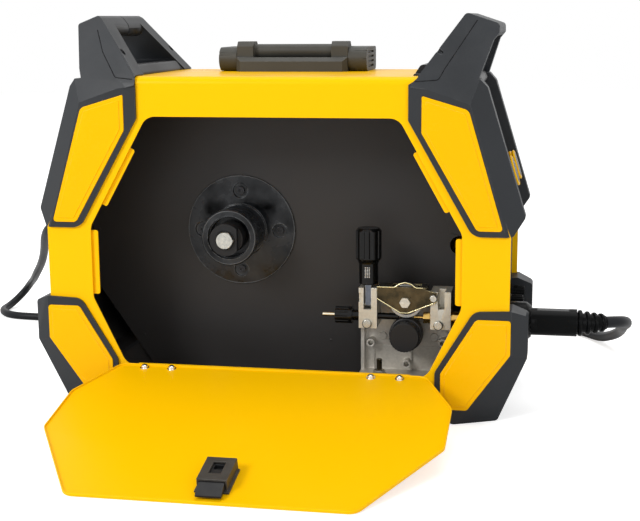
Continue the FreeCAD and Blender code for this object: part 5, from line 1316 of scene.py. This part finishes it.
@dataclass
class SpoolHub(Assembly):
    """Flange, boss, ring, collar and bolt of the spool hub."""

    edge: float = 0.7
    centre: tuple[float, float] = (-58.0, 175.0)
    # Thin pale rings at the flange's and ring's rims paint their highlights.
    rim_highlight_bead: float = 0.45
    rim_highlights: tuple[tuple[str, float, float], ...] = (("hub_flange", 59.5, 5.6), ("hub_ring", 28.4, -48.95))

    def dressed(self) -> tuple[Dressed, ...]:
        """Names the hub's CAD nodes and their finishes."""
        return (
            Dressed("hub_flange", GLOSS_PLASTIC, self.edge, 3), Dressed("hub_boss", GLOSS_PLASTIC, 0.5, 3),
            Dressed("hub_ring", GLOSS_PLASTIC, 0.8, 3), Dressed("hub_collar", BLACK_PLASTIC, 0.5, 3),
            Dressed("hub_bolt", ZINC, 0.3))

    def extras(self) -> list[bpy.types.Object]:
        """Makes thin pale rings at the rims of the flange and of the retaining ring, which paint the rims'
        highlights.

        Returns:
            The pieces.
        """
        x, z = self.centre
        near, front = Vector((0, -1, 0)), Vector((1, 0, 0))
        # Pale rings at the rims: painted highlight.
        rim_highlight = ring_stack()
        return [rim_highlight.make(f"{node}_lip", HUB_RIM_HIGHLIGHT, BODY_OF[node], facing((x, y, z), near, front), Count=1,
                         Radius=radius * MM, Bead=self.rim_highlight_bead * MM)
                for node, radius, y in self.rim_highlights]


@dataclass
class WireDrive(Assembly):
    """Feed plate, rolls, pressure arm, tension knob and guides."""

    stem: tuple[float, float] = (90.0, -40.0)
    sleeve_radius: float = 10.0
    scale_bottom: float = 137.2
    scale_rows: int = 8
    scale_columns: int = 3
    row_step: float = 1.45
    column_step: float = 0.2
    print_gap: float = 0.02
    dot_width: float = 1.1
    dot_height: float = 0.7
    arm_face: float = -51.9
    # Thickness of the pale beads that paint the arm rims' highlights.
    rim_bead: float = 0.75
    lower_rim: tuple[tuple[float, float], ...] = (
        (100.4, 115.8), (125.0, 101.2), (133.0, 101.2), (163.0, 113.6), (163.0, 119.0))
    upper_rim: tuple[tuple[float, float], ...] = (
        (100.4, 128.0), (119.0, 128.0), (124.0, 131.8), (130.0, 133.4), (136.0, 131.8), (141.0, 128.0),
        (148.0, 128.0))
    liner: tuple[Point, Point] = ((30.0, -50.0, 80.0), (76.0, -30.0, 110.0))

    def dressed(self) -> tuple[Dressed, ...]:
        """Names the wire drive's CAD nodes and their finishes."""
        liner = Zone(WIRE_STEEL, *self.liner)
        return (
            Dressed("feed_plate", CAST_ALLOY, 0.4), Dressed("gearmotor", CAST_ALLOY, 0.5),
            Dressed("inlet_block", BLOCK_ALLOY, 0.4), Dressed("outlet_block", BLOCK_ALLOY, 0.4),
            Dressed("pressure_arm", YELLOW_ZINC, 0.2), Dressed("pressure_roller", ROLLER_STEEL, 0.2),
            Dressed("roller_bolt", ZINC, 0.15), Dressed("drive_roll", ROLL_STEEL, 0.2),
            Dressed("drive_cap", BLACK_PLASTIC, 0.15), Dressed("inlet_guide", KNOB_PLASTIC, 0.15),
            Dressed("guide_tubes", BRASS, 0.15, zones=(liner,)), Dressed("tension_stem", STEM_DARK_REFLECTION, 0.15),
            Dressed("tension_knob", KNOB_PLASTIC, 0.2))

    def extras(self) -> list[bpy.types.Object]:
        """Makes the dot scale on the tension sleeve and pale beads along the pressure arm's rims, which paint
        the rims' highlights.

        Returns:
            The pieces.
        """
        x, y = self.stem
        scale = wrapped_dots().make(
            "tension_scale", WHITE_PRINT, BODY_OF["tension_knob"],
            Matrix.Translation(Vector((x, y, self.scale_bottom)) * MM),
            Columns=self.scale_columns, Rows=self.scale_rows, Column_Step=self.column_step,
            Start=-math.pi / 2 - self.column_step, Row_Step=self.row_step * MM,
            Radius=(self.sleeve_radius + self.print_gap) * MM,
            Dot_Width=self.dot_width * MM, Dot_Height=self.dot_height * MM)
        # Pale beads on the arm's rims: painted highlight.
        line = bead_line()
        rims = [line.make(f"arm_{name}_rim", ARM_RIM_HIGHLIGHT, BODY_OF["pressure_arm"], None,
                          [(x, self.arm_face, z) for x, z in places], True, Bead=self.rim_bead * MM)
                for name, places in (("lower", self.lower_rim), ("upper", self.upper_rim))]
        return [scale] + rims


@dataclass
class Console(Assembly):
    """Knobs, rocker, fan, sockets and torch receptacle."""

    knob_up: float = 44.0
    knob_out: float = 28.0
    knob_radius: float = 14.0
    tick_radius: float = 17.0
    tick_length: float = 2.6
    tick_width: float = 0.7
    tick_count: int = 11
    print_height: float = 0.2
    scale_start: float = -60.0
    scale_sweep: float = 330.0
    accent_rings: int = 3
    accent_off: float = 5.6
    accent_step: float = 3.2
    accent_proud: float = 0.3
    accent_bead: float = 1.45
    pointer_off: float = 13.6
    pointer_radius: float = 8.0
    pointer_width: float = 2.0
    lens_up: float = 98.0
    lens_off: float = 0.2
    lens_size: tuple[float, float] = (84.0, 34.0)
    frame_gap: float = 3.0
    frame_corner: float = 3.0
    frame_bead: float = 0.8
    digit: tuple[float, float] = (8.0, 14.0)
    digit_bar: float = 1.3
    digit_gap: float = 1.4
    digit_off: float = 0.05
    digit_depth: float = 0.1
    readings: tuple[float, ...] = (-21.0, 21.0)
    digit_places: tuple[float, ...] = (-12.0, 0.0, 12.0)
    socket_x: float = 233.0
    socket_y: tuple[float, float] = (10.0, 58.0)
    socket_z: float = 103.0
    socket_radius: float = 7.6
    socket_bore: float = 4.7
    socket_reach: float = 16.0
    rib_count: int = 18
    rib_start: float = 4.0
    rib_end_gap: float = 5.0
    rib_sunk: float = 0.2
    rib_length: float = 0.9
    rib_width: float = 1.0
    sign_up: float = 18.0
    sign_length: float = 7.0
    sign_bar: float = 1.3
    sign_off: float = 0.1
    sign_depth: float = 0.4
    panel_screw_up: tuple[float, float] = (8.0, 124.0)
    panel_screw_y: tuple[float, float] = (-58.0, 58.0)
    panel_screw_radius: float = 3.2
    panel_screw_height: float = 1.3
    pin_length: float = 19.5

    def dressed(self) -> tuple[Dressed, ...]:
        """Names the console's CAD nodes and their finishes."""
        r = self.socket_bore + 0.2
        bores = tuple(Zone(BRASS, (self.socket_x - 6.5, y - r, self.socket_z - r),
                           (self.socket_x + self.socket_reach - 0.3, y + r, self.socket_z + r))
                      for y in self.socket_y)
        plug_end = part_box("mains_plug")[1][0] / MM
        pins = Zone(ZINC, (plug_end - self.pin_length, 0.0, 0.0), (plug_end + 1.0, 500.0, 100.0))
        return (
            Dressed("voltage_knob", KNOB_PLASTIC, 0.15), Dressed("current_knob", KNOB_PLASTIC, 0.15),
            Dressed("front_sockets", TORCH_PLASTIC, 0.3, zones=bores),
            Dressed("mains_switch", KNOB_PLASTIC, 0.4), Dressed("fan_rotor", BLACK_PLASTIC, 0.15),
            Dressed("torch_sleeve", TORCH_PLASTIC, 0.4), Dressed("torch_boot", TORCH_PLASTIC, 0.25),
            Dressed("torch_handle", BLACK_PLASTIC, 0.3), Dressed("torch_neck", NECK_RUBBER, kept=True),
            Dressed("torch_trigger", KNOB_PLASTIC, kept=True),
            Dressed("mains_plug", TORCH_PLASTIC, 0.4, zones=(pins,)))

    def extras(self) -> list[bpy.types.Object]:
        """Makes scales, accent rings, the window's frame and digits, socket ribs, signs and screws.

        Returns:
            The pieces.
        """
        face = ControlFace()
        bars = ring_of_marks(Form.BAR)
        made = self.knob_marks(face, bars)
        width, height = self.lens_size
        made.append(rolled_rims().make(
            "window_frame", YELLOW_TRIM, "cabinet", face.spot(self.lens_up, 0.0, self.lens_off),
            Width=(width + self.frame_gap) * MM, Height=(height + self.frame_gap) * MM,
            Corner=self.frame_corner * MM, Bead=self.frame_bead * MM))
        made.append(self.digits(face))
        for k, y in enumerate(self.socket_y):
            place = facing((self.socket_x + self.rib_start, y, self.socket_z), Vector((1, 0, 0)),
                           Vector((0, 1, 0)))
            made.append(bars.make(
                f"socket_ribs_{k + 1}", TORCH_PLASTIC, "cabinet", place, Count=self.rib_count,
                Radius=(self.socket_radius - self.rib_sunk) * MM, Length=self.rib_length * MM,
                Width=self.rib_width * MM, Height=(self.socket_reach - self.rib_end_gap) * MM))
        made.append(self.signs())
        return made + self.panel_screws()

    def knob_marks(self, face: ControlFace, bars: NodeShape) -> list[bpy.types.Object]:
        """Makes each knob's scale, accent rings and pointer.

        Args:
            face: The sloping face that holds the knobs.
            bars: The tree for a ring of bars.

        Returns:
            The pieces.
        """
        dots = ring_of_marks(Form.DOT)
        stack = ring_stack()
        made = []
        for name, y in (("voltage", -self.knob_out), ("current", self.knob_out)):
            body = BODY_OF[f"{name}_knob"]
            made.append(bars.make(
                f"{name}_scale", WHITE_PRINT, "cabinet", face.spot(self.knob_up, y), Count=self.tick_count,
                Radius=self.tick_radius * MM, Length=self.tick_length * MM, Width=self.tick_width * MM,
                Height=self.print_height * MM, Start=math.radians(self.scale_start),
                Sweep=math.radians(self.scale_sweep)))
            made.append(stack.make(
                f"{name}_accent", YELLOW_TRIM, body, face.spot(self.knob_up, y, self.accent_off),
                Count=self.accent_rings, Step=self.accent_step * MM,
                Radius=(self.knob_radius + self.accent_proud) * MM, Bead=self.accent_bead * MM))
            made.append(dots.make(
                f"{name}_pointer", WHITE_PRINT, body, face.spot(self.knob_up, y, self.pointer_off), Count=1,
                Radius=self.pointer_radius * MM, Length=self.pointer_width * MM,
                Height=self.print_height * MM, Start=math.radians(90)))
        return made

    def panel_screws(self) -> list[bpy.types.Object]:
        """Makes the screws in the corners of both end panels.

        Returns:
            The pieces.
        """
        heads = screw_heads()
        made = []
        for name, end in (("front", 1), ("rear", -1)):
            panel = ControlFace(end=end)
            spots = [panel.spot(up, y) for up in self.panel_screw_up for y in self.panel_screw_y]
            made.append(heads.make(
                f"{name}_panel_screws", BLACK_SCREW, "cabinet", None,
                [tuple(spot.translation / MM) for spot in spots], Radius=self.panel_screw_radius * MM,
                Height=self.panel_screw_height * MM, Turn=tuple(spots[0].to_euler())))
        return made

    def digits(self, face: ControlFace) -> bpy.types.Object:
        """Makes the two unlit readings of the window, three digits of seven bars each.

        Args:
            face: The sloping face that holds the window.

        Returns:
            The piece.
        """
        shape = bmesh.new()
        width, height = self.digit
        bar, half = self.digit_bar, height / 2
        upright = (bar, half - bar * self.digit_gap)
        level = (width - bar * self.digit_gap, bar)
        parts = [(0.0, half, level), (0.0, 0.0, level), (0.0, -half, level)]
        parts += [(side * width / 2, up * half / 2, upright) for side in (-1, 1) for up in (-1, 1)]
        for middle in self.readings:
            for place in self.digit_places:
                for x, y, (across, along) in parts:
                    add_block(shape, (middle + place + x, y, self.digit_off),
                              (across, along, self.digit_depth))
        made = to_object("window_digits", shape)
        made.data.transform(face.spot(self.lens_up, 0.0, self.lens_off))
        return give(made, DIGIT_RED, "cabinet")

    def signs(self) -> bpy.types.Object:
        """Makes the plus and minus signs above the sockets.

        Returns:
            The piece.
        """
        shape = bmesh.new()
        length, bar = self.sign_length, self.sign_bar
        minus, plus = self.socket_y
        for y, across, up in ((minus, length, bar), (plus, length, bar), (plus, bar, length)):
            add_block(shape, (self.socket_x + self.sign_off, y, self.socket_z + self.sign_up),
                      (self.sign_depth, across, up))
        return give(to_object("socket_signs", shape), WHITE_PRINT, "cabinet")


# Cords

@dataclass
class Coil:
    """A put-away coil of half turns: inward, one climb, and outward again above."""

    centre: Point
    side: int
    radius: float
    pitch: float
    rise: float
    points_in_half: int = 8
    start_angle: float = 90.0
    loops_in: int = 4
    loops_out: int = 3

    def points(self) -> list[Vector]:
        """Gives the coil's points on the cord's own spline.

        Returns:
            The points in millimetres.
        """
        spread = 1 / math.cos(math.pi / 2 / self.points_in_half)
        centre = Vector(self.centre)
        steps = [(-self.pitch / 2, 0.0)] * self.loops_in + [(0.0, self.rise)]
        steps += [(self.pitch / 2, 0.0)] * self.loops_out
        radius, height, angle = self.radius, centre.z, math.radians(self.start_angle)
        made = []
        for outward, up in steps:
            for k in range(self.points_in_half):
                share = (k + 0.5) / self.points_in_half
                smooth = share * share * (3 - 2 * share)
                a = angle + self.side * math.pi * share
                r = (radius + outward * share) * spread
                made.append(Vector((centre.x + r * math.cos(a), centre.y + r * math.sin(a),
                                    height + up * smooth)))
            radius += outward
            height += up
            angle += self.side * math.pi
        return made


@dataclass
class Cord:
    """A free cord: its route as the control points of one smooth curve."""

    name: str
    nodes: tuple[str, ...]
    route: tuple[Point, ...]
    coil: Coil
    tail: tuple[Point, ...]
    length: float
    diameter: float
    far_end: str
    with_pieces: tuple[str, ...]
    finish: Finish

    def points(self) -> list[Vector]:
        """Gives the control points in metres.

        Returns:
            The route, the coil and the tail.
        """
        route = [Vector(p) for p in self.route] + self.coil.points() + [Vector(p) for p in self.tail]
        return [p * MM for p in route]

    def build(self) -> bpy.types.Object:
        """Returns:
            The curve object.
        """
        curve = bpy.data.curves.new(self.name, "CURVE")
        curve.dimensions = "3D"
        curve.bevel_depth = self.diameter / 2 * MM
        curve.bevel_resolution = 5
        curve.resolution_u = 6
        curve.use_fill_caps = True
        points = self.points()
        spline = curve.splines.new("NURBS")
        spline.points.add(len(points) - 1)
        for target, point in zip(spline.points, points):
            target.co = (*point, 1.0)
        spline.order_u = 3
        spline.use_endpoint_u = True
        made = linked(self.name, curve)
        give(made, self.finish, "cabinet", *self.nodes)
        return made


@dataclass
class Leads:
    """The torch lead and the mains lead."""

    torch: Cord = field(default_factory=lambda: Cord(
        "torch_lead_cord", ("torch_lead", "torch_coil"),
        ((333.2, -33.0, 94.5), (345.0, -26.5, 94.0), (355.0, -10.0, 90.5), (357.5, 20.0, 82.0),
         (356.5, 55.0, 71.5), (357.0, 100.0, 58.5), (359.5, 145.0, 47.0), (358.5, 190.0, 31.0),
         (351.0, 228.0, 17.0), (338.5, 258.0, 7.0), (320.0, 289.0, 6.0), (290.0, 318.0, 6.0),
         (245.0, 338.0, 6.0), (195.0, 343.0, 6.0), (145.0, 343.5, 6.0)),
        Coil((110.0, 238.0, 6.0), 1, 105.0, 15.0, 12.9),
        ((90.0, 335.5, 18.9), (50.0, 335.5, 18.9), (-48.0, 335.5, 18.9)),
        2910.0, 12.0, "tool", ("torch_handle_piece", "torch_neck", "torch_trigger"), CORD_RUBBER))
    mains: Cord = field(default_factory=lambda: Cord(
        "mains_lead_cord", ("mains_lead", "mains_coil"),
        ((-253.0, 22.0, 180.0), (-270.0, 22.0, 179.0), (-290.0, 27.0, 170.0), (-307.0, 52.0, 154.0),
         (-326.0, 95.0, 133.0), (-346.0, 136.0, 112.0), (-370.0, 182.0, 92.0), (-396.0, 228.0, 72.0),
         (-420.0, 275.0, 55.0), (-447.0, 330.0, 40.0), (-466.0, 343.0, 20.0), (-479.0, 325.0, 5.0),
         (-478.0, 292.0, 5.0), (-455.0, 265.0, 5.0), (-415.0, 260.0, 5.0), (-345.0, 261.0, 5.0),
         (-275.0, 262.0, 5.0), (-225.0, 262.0, 5.0)),
        Coil((-190.0, 190.0, 5.0), -1, 72.0, 12.6, 13.6),
        ((-178.0, 255.7, 18.6), (-150.0, 255.7, 18.6)),
        2250.0, 10.0, "plug", ("mains_plug_piece",), CORD_RUBBER))

    def build(self) -> list[bpy.types.Object]:
        """Makes both cords.

        Returns:
            The cords.
        """
        return [self.torch.build(), self.mains.build()]


# Studio

@dataclass(frozen=True)
class Lamp:
    """A square soft lamp, with its places and side in metres and its power in watts."""

    name: str
    place: Point
    aim: Point
    side: float
    power: float

    def build(self) -> None:
        """Adds the lamp to the scene."""
        data = bpy.data.lights.new(self.name, "AREA")
        data.energy = self.power
        data.shape = "SQUARE"
        data.size = self.side
        made = linked(self.name, data)
        made.location = self.place
        made.rotation_euler = (Vector(self.aim) - Vector(self.place)).to_track_quat("-Z", "Y").to_euler()


@dataclass
class Studio:
    """Floor, lamps and the camera at the photograph's angle."""

    lens: float = 72.12
    place: Point = (286.04, -1342.19, 401.35)
    yaw: float = 10.774
    pitch: float = 10.662
    roll: float = -0.386
    sensor: float = 36.0
    clip: tuple[float, float] = (0.05, 50.0)
    floor_radius: float = 6.0
    floor_colour: tuple[float, float, float, float] = (0.9, 0.9, 0.9, 1.0)
    floor_roughness: float = 0.9
    floor_specular: float = 0.1
    floor_lift: float = 0.6
    white: tuple[float, float, float, float] = (1.0, 1.0, 1.0, 1.0)
    fill: float = 0.5
    lamps: tuple[Lamp, ...] = (
        Lamp("key_lamp", (-1.4, -2.0, 1.5), (0.0, 0.0, 0.2), 0.8, 36.0),
        Lamp("front_lamp", (1.4, -2.2, 0.9), (0.0, 0.0, 0.15), 1.6, 12.0),
        Lamp("top_lamp", (0.2, 0.2, 2.2), (0.0, 0.0, 0.2), 1.6, 17.0))

    def camera(self) -> None:
        """Sets the camera."""
        a, b, g = (math.radians(v) for v in (self.yaw, self.pitch, self.roll))
        ahead = Vector((-math.sin(a) * math.cos(b), math.cos(a) * math.cos(b), -math.sin(b)))
        right = Vector((math.cos(a), math.sin(a), 0.0))
        up = right.cross(ahead)
        across = right * math.cos(g) + up * math.sin(g)
        above = up * math.cos(g) - right * math.sin(g)
        data = bpy.data.cameras.new("photo_camera")
        data.lens = self.lens
        data.sensor_width = self.sensor
        data.clip_start, data.clip_end = self.clip
        made = linked("photo_camera", data)
        made.matrix_world = Matrix.Translation(Vector(self.place) * MM) @ Matrix(
            (across, above, -ahead)).transposed().to_4x4()
        bpy.context.scene.camera = made

    def floor(self) -> None:
        """Makes the pale floor, which the camera sees as white but for the object's shadow."""
        shape = bmesh.new()
        bmesh.ops.create_circle(shape, cap_ends=True, radius=self.floor_radius, segments=64)
        made = to_object("studio_floor", shape)
        material = bpy.data.materials.new("pale_floor")
        material.use_nodes = True
        tree = material.node_tree
        shader = tree.nodes["Principled BSDF"].inputs
        shader["Base Color"].default_value = self.floor_colour
        shader["Roughness"].default_value = self.floor_roughness
        shader["Specular IOR Level"].default_value = self.floor_specular
        path = add_node(tree, "ShaderNodeLightPath")
        seen = add_node(tree, "ShaderNodeMath", {0: path.outputs["Is Camera Ray"], 1: self.floor_lift},
                        operation="MULTIPLY")
        shader["Emission Color"].default_value = self.white
        tree.links.new(seen.outputs[0], shader["Emission Strength"])
        made.data.materials.append(material)

    def build(self) -> None:
        """Sets the world, the floor, the lamps and the camera."""
        scene = bpy.context.scene
        scene.view_settings.view_transform = "Standard"
        world = bpy.data.worlds.new("studio")
        scene.world = world
        world.use_nodes = True
        tree = world.node_tree
        back = tree.nodes["Background"]
        path = add_node(tree, "ShaderNodeLightPath")
        seen = path.outputs["Is Camera Ray"]
        for other in ("Is Glossy Ray", "Is Transmission Ray"):
            seen = add_node(tree, "ShaderNodeMath", {0: seen, 1: path.outputs[other]},
                            operation="MAXIMUM").outputs[0]
        level = add_node(tree, "ShaderNodeMapRange", {"Value": seen, "To Min": self.fill, "To Max": 1.0})
        tree.links.new(level.outputs[0], back.inputs["Strength"])
        back.inputs["Color"].default_value = self.white
        self.floor()
        for lamp in self.lamps:
            lamp.build()
        self.camera()


def main() -> None:
    """Builds the studio and every sub-assembly."""
    logging.basicConfig(level=logging.INFO, format="%(name)s %(message)s")
    Studio().build()
    for part in (Cabinet(), Guards(), SideDoor(), SpoolHub(), WireDrive(), Console(), Leads()):
        for piece in part.build():
            faces = len(getattr(piece.data, "polygons", ()))
            log.info("%s: %s, %d faces", type(part).__name__, piece.name, faces)


if __name__ == "__main__":
    main()
